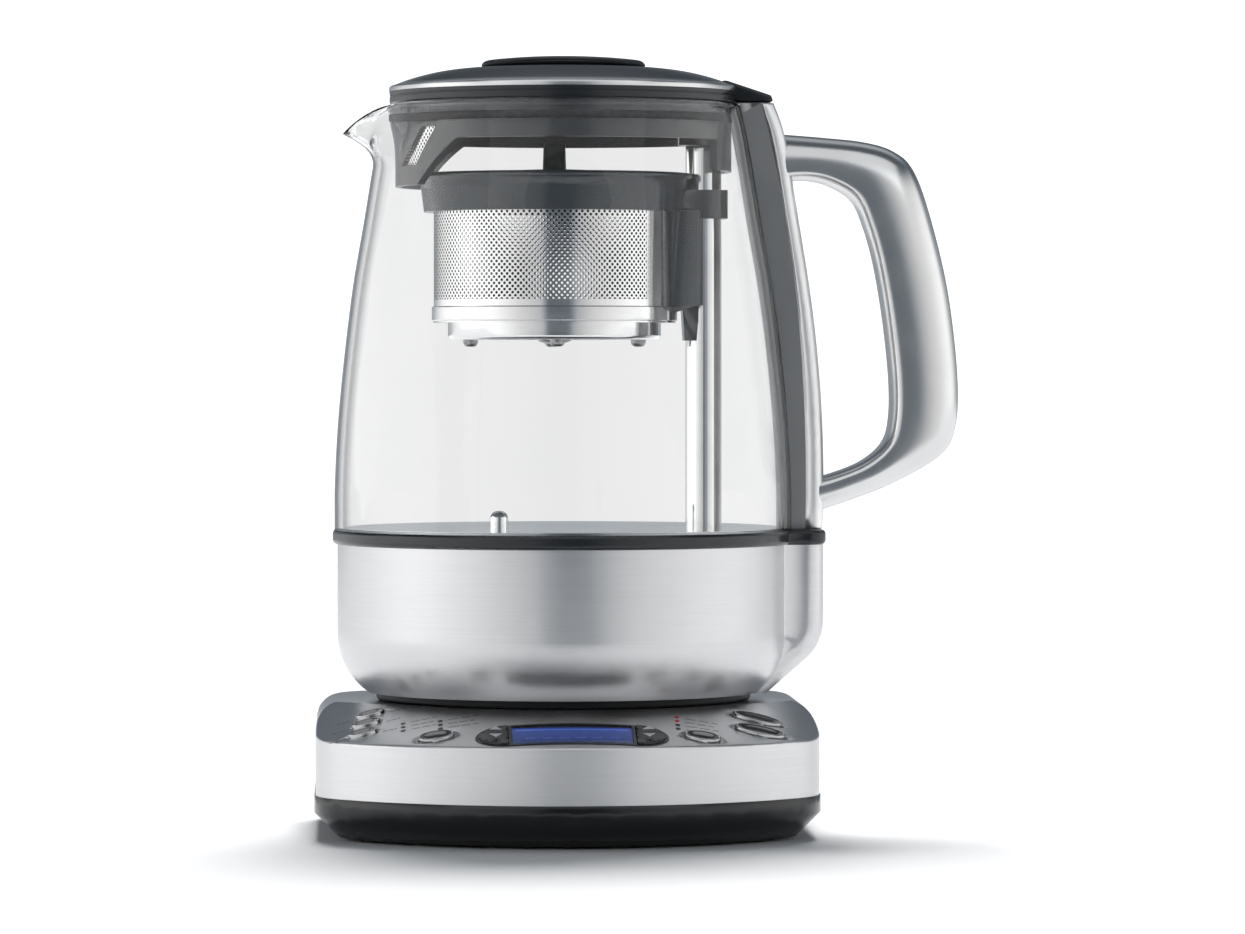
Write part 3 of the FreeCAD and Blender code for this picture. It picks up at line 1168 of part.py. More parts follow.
def basket_base():
    """Steel band and stepped cup under the wall, with the studs it stands on."""
    bore = WALL_RADIUS + 0.02
    step = BAND_TOP - 4.0
    cup = around_basket((CUP_RADIUS - CUP_SHEET, CUP_BOTTOM), line((CUP_RADIUS, CUP_BOTTOM)),
                        line((CUP_RADIUS, BAND_BOTTOM)), line((BAND_RADIUS - BAND_BEAD, BAND_BOTTOM)),
                        line((BAND_RADIUS + BAND_BEAD, BAND_BOTTOM + 2.0 * BAND_BEAD)),
                        line((BAND_RADIUS + BAND_BEAD, BAND_TOP)), line((bore, BAND_TOP)),
                        line((bore, step)), line((CUP_RADIUS - CUP_SHEET, step)))
    rim = tube(CUP_RADIUS - 3.4, CUP_RADIUS - CUP_SHEET / 2.0, CUP_BOTTOM, CUP_BOTTOM + CUP_SHEET,
               (BASKET_X, 0.0))
    spokes = [block((BASKET_X - CUP_RADIUS + 1.0, BASKET_X + CUP_RADIUS - 1.0), (-1.2, 1.2),
                    (CUP_BOTTOM, CUP_BOTTOM + CUP_SHEET)),
              block((BASKET_X - 1.2, BASKET_X + 1.2), (-CUP_RADIUS + 1.0, CUP_RADIUS - 1.0),
                    (CUP_BOTTOM, CUP_BOTTOM + CUP_SHEET))]
    boss = rod(BOSS_RADIUS, CUP_BOTTOM - STUD_DROP, CUP_BOTTOM + CUP_SHEET, (BASKET_X, 0.0))
    studs = []
    for sign_x, sign_y in ((1, 0), (-1, 0), (0, 1), (0, -1)):
        place = (BASKET_X + sign_x * STUD_CIRCLE, sign_y * STUD_CIRCLE)
        studs.append(rod(STUD_RADIUS, CUP_BOTTOM - STUD_DROP, CUP_BOTTOM + CUP_SHEET, place))
    return cup.fuse([rim, boss] + spokes + studs)


def basket_floor():
    """Perforated disc that closes the bottom of the basket."""
    low = CUP_BOTTOM + CUP_SHEET
    return rod(CUP_RADIUS - CUP_SHEET - 0.1, low, low + 0.6, (BASKET_X, 0.0))


def basket_lid():
    """Shallow domed lid of the basket, with a flat land for its knob."""
    seat = BASKET_LID_SEAT + FIT
    edge = seat + BASKET_LID_EDGE
    top = edge + BASKET_LID_DOME
    radius = BASKET_LID_RADIUS
    land = BASKET_KNOB_RADIUS + 0.6
    return around_basket((radius - 6.0, seat), line((radius, seat)), line((radius, edge)),
                         arc((radius * 0.52, edge + BASKET_LID_DOME * 0.74), (land, top)),
                         line((0.0, top)), line((0.0, top - BASKET_LID_EDGE)),
                         line((land, top - BASKET_LID_EDGE)),
                         arc((radius * 0.48, edge + BASKET_LID_DOME * 0.74 - 1.0),
                             (radius - 6.0, seat + 0.4)))


def basket_lid_knob():
    """Pin knob of the basket lid."""
    low = BASKET_LID_SEAT + FIT + BASKET_LID_EDGE + BASKET_LID_DOME
    radius = BASKET_KNOB_RADIUS
    top = BASKET_KNOB_TOP
    return around_basket((0.0, low), line((radius, low)), line((radius * 0.92, top - 0.8)),
                         line((radius * 0.72, top)), line((0.0, top)))


# ---------------------------------------------------------------- lid
def lid_tab_form(spread):
    """Wedge over the head of the spine, optionally with room round it."""
    face = outline(side, TAB_PROFILE[0], *[line(point) for point in TAB_PROFILE[1:]])
    return crosswise(face, TAB_HALF_WIDTH + spread)


def lid_body():
    """Black lid body: flange on the rim of the glass, seam line and tab over the spine."""
    groove = 0.6
    disc = turned((0.0, SKIRT_ROOF + 1.8), line((SKIRT_RADIUS - SKIRT_WALL - 1.0, SKIRT_ROOF + 1.8)),
                  line((SKIRT_RADIUS - SKIRT_WALL - 1.0, LID_BOTTOM)), line((LID_RADIUS, LID_BOTTOM)),
                  line((LID_RADIUS, LID_SEAM - 0.2)), line((LID_RADIUS - groove, LID_SEAM - 0.2)),
                  line((LID_RADIUS - groove, LID_SEAM + 0.2)), line((LID_RADIUS, LID_SEAM + 0.2)),
                  line((LID_RADIUS, LID_BODY_TOP)), line((0.0, LID_BODY_TOP)))
    return disc.fuse(lid_tab_form(0.0))


def lid_plate():
    """Domed steel plate on the lid, notched for the tab and open for the knob's neck."""
    radius = LID_RADIUS + 0.2
    sheet = LID_PLATE_SHEET
    crown = LID_KNOB_RADIUS
    mid_radius = (radius + crown) / 2.0
    mid_height = LID_PLATE_TOP - LID_PLATE_DOME * 0.25
    plate = turned((radius, LID_BODY_TOP), line((radius, LID_PLATE_RIM - 0.9)),
                   arc((radius - 0.3, LID_PLATE_RIM - 0.25), (radius - 1.0, LID_PLATE_RIM)),
                   arc((mid_radius, mid_height), (crown, LID_PLATE_TOP)),
                   line((LID_KNOB_NECK + 0.2, LID_PLATE_TOP)),
                   line((LID_KNOB_NECK + 0.2, LID_PLATE_TOP - sheet)),
                   line((crown, LID_PLATE_TOP - sheet)),
                   arc((mid_radius, mid_height - sheet), (radius - sheet, LID_PLATE_RIM - sheet)),
                   line((radius - sheet, LID_BODY_TOP)))
    return plate.cut(lid_tab_form(0.15))


def lid_knob():
    """Low black knob with a softly domed top."""
    low = LID_PLATE_TOP + 0.3
    radius = LID_KNOB_RADIUS
    return turned((0.0, LID_BODY_TOP), line((LID_KNOB_NECK, LID_BODY_TOP)),
                  line((LID_KNOB_NECK, low)), line((radius - 1.0, low)),
                  arc((radius - 0.3, low + 0.3), (radius, low + 1.0)),
                  arc((radius - 0.6, low + 1.8), (radius - 2.2, low + 2.4)),
                  arc((radius * 0.55, LID_TOP - 0.35), (LID_KNOB_LAND, LID_TOP)),
                  line((0.0, LID_TOP)))


def skirt_apron(half_widths, low, sign):
    """Wall of the skirt that hangs lower: it narrows downwards, on the spout or handle side."""
    top_half, low_half = half_widths
    shape = outline(front, (-top_half, SKIRT_BOTTOM + 1.0), line((top_half, SKIRT_BOTTOM + 1.0)),
                    line((low_half, low)), line((-low_half, low)))
    wedge = shape.extrude(Vector(sign * SKIRT_RADIUS * 1.2, 0, 0))
    return tube(SKIRT_RADIUS - SKIRT_WALL, SKIRT_RADIUS, low, SKIRT_BOTTOM + 1.0).common(wedge)


def filter_opening(sign):
    """Slanted window in the spout apron, on the front or back of it."""
    top_edge = WINDOW_INSET - SKIRT_RADIUS
    low_edge = top_edge - WINDOW_SLANT
    face = outline(side, (top_edge - WINDOW_WIDTH, WINDOW_TOP), line((top_edge, WINDOW_TOP)),
                   line((low_edge, WINDOW_BOTTOM)), line((low_edge - WINDOW_WIDTH, WINDOW_BOTTOM)))
    return face.extrude(Vector(0, sign * SKIRT_RADIUS * 1.2, 0))


def lid_skirt():
    """Smoke-coloured skirt inside the neck, with two aprons and the stop over the post."""
    wall = tube(SKIRT_RADIUS - SKIRT_WALL, SKIRT_RADIUS, SKIRT_BOTTOM, LID_BOTTOM)
    roof = rod(SKIRT_RADIUS - SKIRT_WALL / 2.0, SKIRT_ROOF, SKIRT_ROOF + 1.8)
    spout_apron = skirt_apron((APRON_TOP_HALF, APRON_LOW_HALF), APRON_BOTTOM, -1.0)
    handle_apron = skirt_apron((HANDLE_APRON_HALF, HANDLE_APRON_HALF), HANDLE_APRON_BOTTOM, 1.0)
    stop = rod(POST_RADIUS + 2.5, POST_TOP + POST_CAP + FIT, SKIRT_ROOF + 0.5, (POST_X, 0.0))
    stop = stop.common(rod(SKIRT_RADIUS - 0.5, SKIRT_BOTTOM - 5.0, SKIRT_ROOF + 1.0))
    skirt = wall.fuse([roof, spout_apron, handle_apron, stop])
    groove = tube(SKIRT_RADIUS - 0.8, SKIRT_RADIUS + 1.0, SKIRT_SEAL_HEIGHT,
                  SKIRT_SEAL_HEIGHT + SEAL_SECTION)
    return skirt.cut([groove, filter_opening(1.0), filter_opening(-1.0)])


def spout_filter():
    """Fine mesh let into the two windows of the spout apron."""
    middle = SKIRT_RADIUS - SKIRT_WALL / 2.0
    sheet = tube(middle - 0.3, middle + 0.3, WINDOW_BOTTOM, WINDOW_TOP)
    return Part.makeCompound([sheet.common(filter_opening(sign)) for sign in (1.0, -1.0)])


def lid_seal():
    """Silicone ring that centres the lid in the neck of the glass."""
    return tube(SKIRT_RADIUS - 0.8, SKIRT_RADIUS + 0.3, SKIRT_SEAL_HEIGHT,
                SKIRT_SEAL_HEIGHT + SEAL_SECTION)


# ---------------------------------------------------------------- assembly
PIECES = {
    "base_shell": base_shell,
    "base_tray": base_tray,
    "base_feet": base_feet,
    "base_screws": base_screws,
    "cord_inlet": cord_inlet,
    "power_connector": power_connector,
    "connector_contacts": connector_contacts,
    "control_board": control_board,
    "key_switches": key_switches,
    "power_board": power_board,
    "display_bezel": display_bezel,
    "display_window": display_window,
    "display_module": display_module,
    "indicator_lights": indicator_lights,
    "jug_socket": jug_socket,
    "jug_foot": jug_foot,
    "foot_screws": foot_screws,
    "jug_chassis": jug_chassis,
    "gear_motor": gear_motor,
    "heating_element": heating_element,
    "shaft_bush": shaft_bush,
    "jug_casing": jug_casing,
    "jug_collar": jug_collar,
    "glass_gasket": glass_gasket,
    "glass_jug": glass_jug,
    "floor_plate": floor_plate,
    "temperature_probe": temperature_probe,
    "post_tube": post_tube,
    "post_cap": post_cap,
    "spine_backing": spine_backing,
    "spine_strip": spine_strip,
    "handle": handle,
    "lead_screw": lead_screw,
    "magnet_carriage": magnet_carriage,
    "basket_carrier": basket_carrier,
    "basket_magnets": basket_magnets,
    "basket_wall": basket_wall,
    "basket_base": basket_base,
    "basket_floor": basket_floor,
    "basket_lid": basket_lid,
    "basket_lid_knob": basket_lid_knob,
    "lid_plate": lid_plate,
    "lid_knob": lid_knob,
    "lid_body": lid_body,
    "lid_skirt": lid_skirt,
    "spout_filter": spout_filter,
    "lid_seal": lid_seal,
}


def build():
    """Every piece by name, about the jug's axis."""
    pieces = {name: make() for name, make in PIECES.items()}
    for name in OVAL_BUTTONS:
        pieces[name] = oval_button(name)
    pieces["left_rocker_key"] = rocker_key(-1.0)
    pieces["right_rocker_key"] = rocker_key(1.0)
    return pieces


def origin_shift(pieces):
    """Move that puts the origin under the middle of the whole object."""
    box = Part.makeCompound(list(pieces.values())).optimalBoundingBox(False, False)
    return Vector(-(box.XMin + box.XMax) / 2.0, -(box.YMin + box.YMax) / 2.0, 0.0)


def main():
    """Build the pieces, move them to the origin and write one STEP file each."""
    os.makedirs("parts", exist_ok=True)
    pieces = build()
    shift = origin_shift(pieces)
    print("origin shift", round(shift.x, 3), round(shift.y, 3))
    for name, solid in pieces.items():
        solid.translate(shift)
        volume = round(solid.Volume / 1000.0, 3)
        print(name, "solids", len(solid.Solids), "valid", solid.isValid(), "cm3", volume)
        solid.exportStep(f"parts/{name}.step")


if __name__ == "__main__":
    main()
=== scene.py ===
"""Automatic tea maker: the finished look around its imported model."""

import logging
import math
from dataclasses import dataclass
from enum import Enum
from typing import Iterable, Sequence

import bmesh
import bpy
from mathutils import Matrix, Vector


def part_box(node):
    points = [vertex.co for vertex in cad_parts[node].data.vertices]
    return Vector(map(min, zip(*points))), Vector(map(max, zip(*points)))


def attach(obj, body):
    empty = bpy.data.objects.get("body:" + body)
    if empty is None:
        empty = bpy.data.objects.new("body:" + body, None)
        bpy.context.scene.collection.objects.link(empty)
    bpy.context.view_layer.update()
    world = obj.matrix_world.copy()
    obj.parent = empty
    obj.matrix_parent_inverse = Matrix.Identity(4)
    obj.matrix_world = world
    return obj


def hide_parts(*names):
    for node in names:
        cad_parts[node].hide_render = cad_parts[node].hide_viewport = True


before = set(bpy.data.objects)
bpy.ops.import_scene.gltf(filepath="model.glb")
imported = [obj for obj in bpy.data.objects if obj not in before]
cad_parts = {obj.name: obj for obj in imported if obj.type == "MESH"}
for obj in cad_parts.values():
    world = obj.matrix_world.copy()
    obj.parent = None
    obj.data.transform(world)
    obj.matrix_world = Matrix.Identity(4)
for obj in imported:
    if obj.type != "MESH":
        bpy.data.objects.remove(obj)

LOG = logging.getLogger("tea_maker")
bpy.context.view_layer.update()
MM = 0.001
MERGE = 0.0005
CELL_MERGE = 0.03
QUARTER = math.pi / 2.0
UP = (0.0, 0.0, 1.0)
Point = tuple[float, float]
Triple = tuple[float, float, float]
Socket = bpy.types.NodeSocket
Value = Socket | float | Sequence[float]


def height_of(node: str) -> Point:
    """Lowest and highest level of a CAD node in millimetres."""
    low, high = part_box(node)
    return low.z / MM, high.z / MM


def jug_axis() -> Vector:
    """Point on the table under the jug's axis, in metres."""
    low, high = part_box("glass_gasket")
    return Vector(((low.x + high.x) / 2.0, (low.y + high.y) / 2.0, 0.0))


AXIS = jug_axis()
TO_FRAME = Matrix.Translation(AXIS) @ Matrix.Scale(MM, 4)


# ---------------------------------------------------------------- nodes
def opaque(colour: Value) -> Value:
    """Give a colour full alpha.

    Args:
        colour: Grey tone, three channels or a socket.

    Returns:
        Four channels, or the socket as it is.
    """
    if isinstance(colour, Socket):
        return colour
    channels = (colour,) * 3 if isinstance(colour, float) else colour
    return (*channels, 1.0)


class Wiring:
    """A node tree under construction. Its methods take sockets and plain values alike."""

    def __init__(self, tree: bpy.types.NodeTree) -> None:
        """Take up a tree.

        Args:
            tree: Tree to add nodes to.
        """
        self.tree = tree

    def add(self, kind: str) -> bpy.types.Node:
        """A new node of a kind."""
        return self.tree.nodes.new(kind)

    def feed(self, inputs: Iterable[Socket], *values: Value) -> None:
        """Link or set some inputs in turn.

        Args:
            inputs: Inputs, at least as many as there are values.
            *values: A socket to link to each, or the value to set.
        """
        for socket, value in zip(inputs, values):
            if isinstance(value, Socket):
                self.tree.links.new(value, socket)
            else:
                socket.default_value = value

    def sum(self, operation: str, *values: Value) -> Socket:
        """Take one step of arithmetic.

        Args:
            operation: Name of the step.
            *values: What it works on.

        Returns:
            The result.
        """
        node = self.add("ShaderNodeMath")
        node.operation = operation
        self.feed(node.inputs, *values)
        return node.outputs[0]

    def vector(self, operation: str, *values: Value) -> Socket:
        """Take one step on vectors.

        Args:
            operation: Name of the step.
            *values: What it works on.

        Returns:
            The result, a number where the step is a dot product.
        """
        node = self.add("ShaderNodeVectorMath")
        node.operation = operation
        self.feed(node.inputs, *values)
        return node.outputs["Value" if operation == "DOT_PRODUCT" else "Vector"]

    def split(self, vector: Socket) -> Sequence[Socket]:
        """Take a vector apart.

        Args:
            vector: Vector to take apart.

        Returns:
            Its three coordinates.
        """
        node = self.add("ShaderNodeSeparateXYZ")
        self.feed(node.inputs, vector)
        return node.outputs

    def number(self, share: Value, first: Value, second: Value) -> Socket:
        """Mix two numbers.

        Args:
            share: Share of the second, from 0 to 1.
            first: Number where the share is none.
            second: Number where the share is full.

        Returns:
            The number between them.
        """
        node = self.add("ShaderNodeMix")
        self.feed((node.inputs[0], node.inputs[2], node.inputs[3]), share, first, second)
        return node.outputs[0]

    def colour(self, share: Value, first: Value, second: Value) -> Socket:
        """Mix two colours.

        Args:
            share: Share of the second, from 0 to 1.
            first: Colour where the share is none.
            second: Colour where the share is full.

        Returns:
            The colour between them.
        """
        node = self.add("ShaderNodeMix")
        node.data_type = "RGBA"
        sockets = (node.inputs["Factor"], node.inputs["A"], node.inputs["B"])
        self.feed(sockets, share, opaque(first), opaque(second))
        return node.outputs["Result"]

    def remap(self, value: Socket, source: Point, target: Point, soft: bool = False) -> Socket:
        """Value moved from one range to another.

        Args:
            value: Value to move.
            source: Range that it comes from, past which it stays at the end.
            target: Range that it goes to.
            soft: Whether the change eases in and out.

        Returns:
            The value in its new range.
        """
        node = self.add("ShaderNodeMapRange")
        node.interpolation_type = "SMOOTHSTEP" if soft else "LINEAR"
        self.feed(node.inputs, value, *source, *target)
        return node.outputs["Result"]

    def share(self, value: Socket, low: float, high: float, soft: bool = False) -> Socket:
        """Share of the way that a value has gone from low to high."""
        return self.remap(value, (low, high), (0.0, 1.0), soft)

    def between(self, mask: Socket, low: float, high: float) -> Socket:
        """Value that runs from low to high with a mask."""
        return self.remap(mask, (0.0, 1.0), (low, high))

    def noise(self, place: Socket, scale: Value, detail: float, roughness: float = 0.5) -> Socket:
        """Level of a noise at a place.

        Args:
            place: Coordinate that the noise is drawn over.
            scale: Size of its grain, larger for a finer one.
            detail: Number of finer layers.
            roughness: Share of the finer layers.

        Returns:
            The level, from 0 to 1.
        """
        node = self.add("ShaderNodeTexNoise")
        sockets = [node.inputs[name] for name in ("Vector", "Scale", "Detail", "Roughness")]
        self.feed(sockets, place, scale, detail, roughness)
        return node.outputs["Fac"]


# ---------------------------------------------------------------- shader groups
class Effect(Enum):
    """Surface effects that several materials share."""

    BRUSHING = "brushing"
    HANDLING = "handling"
    MOULDING = "moulding"


class Group(Wiring):
    """Shader group with a place input, further number inputs and one value output."""

    def __init__(self, effect: Effect, **defaults: float) -> None:
        """Start a group.

        Args:
            effect: Effect that the group makes.
            **defaults: Number inputs and the value of each.
        """
        super().__init__(bpy.data.node_groups.new(effect.value, "ShaderNodeTree"))
        new_socket = self.tree.interface.new_socket
        new_socket("Place", in_out="INPUT", socket_type="NodeSocketVector")
        for name, default in defaults.items():
            socket = new_socket(name, in_out="INPUT", socket_type="NodeSocketFloat")
            socket.default_value = default
        new_socket("Value", in_out="OUTPUT", socket_type="NodeSocketFloat")
        self.given = self.add("NodeGroupInput").outputs

    def close(self, value: Socket) -> bpy.types.NodeTree:
        """Put out a value, and give the finished tree."""
        self.feed(self.add("NodeGroupOutput").inputs, value)
        return self.tree


def brushing() -> bpy.types.NodeTree:
    """Fine parallel scratches: noise drawn out by a stretch along each axis.

    Returns:
        The node tree.
    """
    group = Group(Effect.BRUSHING, Along=30.0, Across=2500.0)
    drawn = group.add("ShaderNodeCombineXYZ")
    ways = zip(group.split(group.given["Place"]), ("Along", "Along", "Across"))
    group.feed(drawn.inputs, *[group.sum("MULTIPLY", way, group.given[name]) for way, name in ways])
    return group.close(group.noise(drawn.outputs[0], 1.0, 3.0, 0.65))


def patches(effect: Effect, low: float, high: float) -> bpy.types.NodeTree:
    """Soft uneven patches, as handling and moulding leave them.

    Args:
        effect: Effect that the group stands for.
        low: Noise level where the patches start.
        high: Noise level where they are full.

    Returns:
        The node tree.
    """
    group = Group(effect, Scale=60.0)
    level = group.noise(group.given["Place"], group.given["Scale"], 4.0)
    return group.close(group.share(level, low, high))


GROUPS = {
    Effect.BRUSHING: brushing(),
    Effect.HANDLING: patches(Effect.HANDLING, 0.45, 0.75),
    Effect.MOULDING: patches(Effect.MOULDING, 0.2, 0.8),
}


class Surface(Wiring):
    """One material under construction: its principled shader and the nodes that feed it."""

    def __init__(self, name: str) -> None:
        """Start a material with a principled shader.

        Args:
            name: Name of the material.
        """
        self.material = bpy.data.materials.new(name)
        self.material.use_nodes = True
        super().__init__(self.material.node_tree)
        self.shader = self.tree.nodes["Principled BSDF"]
        self.place = self.add("ShaderNodeTexCoord").outputs["Object"]

    def set(self, **values: Value) -> None:
        """Link or set the shader's own sockets, underscores standing for spaces."""
        for name, value in values.items():
            self.feed([self.shader.inputs[name.replace("_", " ")]], value)

    def effect(self, effect: Effect, place: Socket | None = None, **values: float) -> Socket:
        """Place a shared effect.

        Args:
            effect: Effect to place.
            place: Coordinate that it reads, where it isn't the object's own.
            **values: Its named inputs.

        Returns:
            The effect's value output.
        """
        node = self.add("ShaderNodeGroup")
        node.node_tree = GROUPS[effect]
        self.feed([node.inputs["Place"]], self.place if place is None else place)
        for name, value in values.items():
            node.inputs[name].default_value = value
        return node.outputs["Value"]

    def normal(self) -> Socket:
        """Way that the surface faces."""
        return self.add("ShaderNodeNewGeometry").outputs["Normal"]

    def shade_painted_at_rim(self, colour: Socket, deep: Value, start: float, end: float) -> Socket:
        """Colour that turns to a painted shade where the surface turns away from the eye.

        Args:
            colour: Colour of the faces that look at the eye.
            deep: Colour of the painted shade at the rim.
            start: How far turned away the change starts, from 0 to 1.
            end: How far turned away it ends.

        Returns:
            The colour.
        """
        facing = self.add("ShaderNodeLayerWeight").outputs["Facing"]
        return self.colour(self.share(facing, start, end), colour, deep)

    def ring_tangent(self) -> None:
        """Highlights that follow rings about the upright axis."""
        tangent = self.add("ShaderNodeTangent")
        tangent.direction_type = "RADIAL"
        tangent.axis = "Z"
        self.set(Tangent=tangent.outputs[0])

    def bump(self, height: Socket, strength: float, depth: float) -> None:
        """Put relief on the shader's normal.

        Args:
            height: Level of the relief, from 0 to 1.
            strength: How much of it shows.
            depth: Its depth in millimetres.
        """
        node = self.add("ShaderNodeBump")
        sockets = [node.inputs[name] for name in ("Strength", "Distance", "Height")]
        self.feed(sockets, strength, depth * MM, height)
        self.set(Normal=node.outputs["Normal"])

    def grain(self, scale: float, strength: float, depth: float) -> None:
        """Moulded relief all over, if it has any strength."""
        if strength > 0.0:
            self.bump(self.effect(Effect.MOULDING, Scale=scale), strength, depth)


# ---------------------------------------------------------------- finishes
@dataclass(frozen=True)
class BrushedSteel:
    """Stainless steel brushed along the horizon."""

    name: str
    level_faces: bool = False
    tone: float = 0.66
    roughness: float = 0.30
    scratch_length: float = 26.0
    scratch_pitch: float = 2300.0
    scratch_relief: Point = (0.10, 0.03)
    smudge_scale: float = 22.0
    smudge_roughness: float = 0.03
    level_from: Point = (0.5, 0.8)

    def build(self) -> bpy.types.Material:
        """Make the material.

        Returns:
            The material.
        """
        surface = Surface(self.name)
        lines = self.scratches(surface, surface.place)
        if self.level_faces:
            level = surface.share(surface.split(surface.normal())[2], *self.level_from)
            lines = surface.number(level, lines, self.scratches(surface, self.turned(surface)))
        smudge = surface.effect(Effect.HANDLING, Scale=self.smudge_scale)
        dark, light = self.tone * 0.90, self.tone * 1.06
        rough = surface.between(lines, self.roughness - 0.05, self.roughness + 0.07)
        tone = surface.colour(lines, (dark, dark, dark * 1.01), (light, light, light * 1.015))
        surface.set(Base_Color=tone, Metallic=1.0,
                    Roughness=surface.sum("MULTIPLY_ADD", smudge, self.smudge_roughness, rough),
                    Anisotropic=0.55, Anisotropic_Rotation=0.25)
        surface.bump(lines, *self.scratch_relief)
        surface.ring_tangent()
        return surface.material

    def scratches(self, surface: Surface, place: Socket) -> Socket:
        """Level of the scratches at a place."""
        return surface.effect(Effect.BRUSHING, place, Along=self.scratch_length,
                              Across=self.scratch_pitch)

    def turned(self, surface: Surface) -> Socket:
        """Lay the scratches left to right on faces that look up.

        Args:
            surface: Material under construction.

        Returns:
            The place that such scratches read.
        """
        turn = surface.add("ShaderNodeMapping")
        sockets = [turn.inputs[name] for name in ("Vector", "Rotation", "Scale")]
        surface.feed(sockets, surface.place, (QUARTER, 0.0, 0.0), (1.0, 0.0, 1.0))
        return turn.outputs[0]


@dataclass(frozen=True)
class PolishedSteel:
    """Bright or satin steel with faint handling marks, and painted shade towards the rim where
    asked.
    """

    name: str
    tone: float = 0.80
    roughness: float = 0.10
    grain: float = 0.0
    rim_shade_share: float = 1.0
    rim: Point = (0.72, 0.95)
    marked_share: float = 0.94
    marked_roughness: float = 0.06

    def build(self) -> bpy.types.Material:
        """Make the material.

        Returns:
            The material.
        """
        surface = Surface(self.name)
        marks = surface.effect(Effect.HANDLING, Scale=45.0)
        colour = surface.colour(marks, self.tone, self.tone * self.marked_share)
        # Painted shade: below a share of one, the colour darkens towards the rim, where the surface
        # turns away from the eye.
        if self.rim_shade_share < 1.0:
            colour = surface.shade_painted_at_rim(colour, self.tone * self.rim_shade_share, *self.rim)
        marked = self.roughness + self.marked_roughness
        surface.set(Base_Color=colour, Metallic=1.0,
                    Roughness=surface.between(marks, self.roughness, marked))
        surface.grain(1500.0, self.grain, 0.01)
        return surface.material


@dataclass(frozen=True)
class LidSteel:
    """Steel dome, turned in fine rings and painted dark as a shaded reflection, above a bright
    upright edge of the same steel.
    """

    name: str
    edge_height: float
    dome_shade_tone: float = 0.11
    dome_shade_cast: Triple = (1.0, 1.05, 1.12)
    edge_tone: float = 0.66
    roughness: Point = (0.24, 0.30)

    def build(self) -> bpy.types.Material:
        """Make the material.

        Returns:
            The material.
        """
        surface = Surface(self.name)
        # Painted shade: above the edge height the steel takes a dark, cooler tone that stands for a
        # dark reflection.
        dome = surface.share(surface.split(surface.place)[2], self.edge_height - 0.2 * MM,
                             self.edge_height + 0.5 * MM)
        tone = tuple(self.dome_shade_tone * cast for cast in self.dome_shade_cast)
        marks = surface.effect(Effect.HANDLING, Scale=25.0)
        surface.set(Base_Color=surface.colour(dome, self.edge_tone, tone), Metallic=1.0,
                    Roughness=surface.between(marks, *self.roughness),
                    Anisotropic=0.8, Anisotropic_Rotation=0.25)
        surface.bump(surface.effect(Effect.BRUSHING, Along=30.0, Across=2400.0), 0.06, 0.02)
        surface.ring_tangent()
        return surface.material


@dataclass(frozen=True)
class PiercedSheet:
    """Bright rolled steel whose inner side carries painted shade, so that its holes read dark."""

    name: str
    axis_x: float
    axis_y: float
    outer_tone: float = 0.80
    inner_shade_tone: float = 0.04
    roughness: Point = (0.10, 0.15)

    def build(self) -> bpy.types.Material:
        """Make the material.

        Returns:
            The material.
        """
        surface = Surface(self.name)
        marks = surface.effect(Effect.HANDLING, Scale=60.0)
        away = surface.vector("SUBTRACT", surface.place, (self.axis_x, self.axis_y, 0.0))
        spoke = surface.vector("NORMALIZE", surface.vector("MULTIPLY", away, (1.0, 1.0, 0.0)))
        facing = surface.vector("DOT_PRODUCT", spoke, surface.normal())
        outside = surface.share(facing, 0.3, 0.7)
        # Painted shade: faces that look in towards the axis take the dark inner tone.
        surface.set(Base_Color=surface.colour(outside, self.inner_shade_tone, self.outer_tone),
                    Roughness=surface.between(marks, *self.roughness), Metallic=1.0)
        return surface.material


@dataclass(frozen=True)
class Plastic:
    """Moulded plastic or rubber, from glossy to matt."""

    name: str
    colour: Triple
    roughness: float = 0.30
    grain: float = 0.06
    ior: float = 1.5
    alpha: float = 1.0
    dark_share: float = 0.86

    def build(self) -> bpy.types.Material:
        """Make the material.

        Returns:
            The material.
        """
        surface = Surface(self.name)
        uneven = surface.effect(Effect.MOULDING, Scale=35.0)
        darker = tuple(channel * self.dark_share for channel in self.colour)
        rough = surface.between(uneven, self.roughness - 0.03, self.roughness + 0.05)
        surface.set(Base_Color=surface.colour(uneven, darker, self.colour), Roughness=rough,
                    IOR=self.ior, Alpha=self.alpha)
        surface.grain(2600.0, self.grain, 0.02)
        return surface.material


@dataclass(frozen=True)
class ClearBody:
    """Clear or tinted glass and plastic that lets light through, with painted shade at its rims."""

    name: str
    tint: Triple
    edge: Triple
    ior: float = 1.47
    roughness: float = 0.0
    film_roughness: float = 0.01
    rim: Point = (0.72, 0.84)

    def build(self) -> bpy.types.Material:
        """Make the material.

        Returns:
            The material.
        """
        surface = Surface(self.name)
        film = surface.effect(Effect.HANDLING, Scale=30.0)
        cleaner = tuple(min(1.0, channel * 1.02) for channel in self.tint)
        body = surface.colour(film, cleaner, self.tint)
        rough = surface.between(film, self.roughness, self.roughness + self.film_roughness)
        # Painted shade: the body colour turns to the edge colour where the surface turns away from
        # the eye.
        surface.set(Base_Color=surface.shade_painted_at_rim(body, self.edge, *self.rim), Roughness=rough,
                    Transmission_Weight=1.0, IOR=self.ior)
        surface.grain(14.0, 0.02, 0.2)
        return surface.material


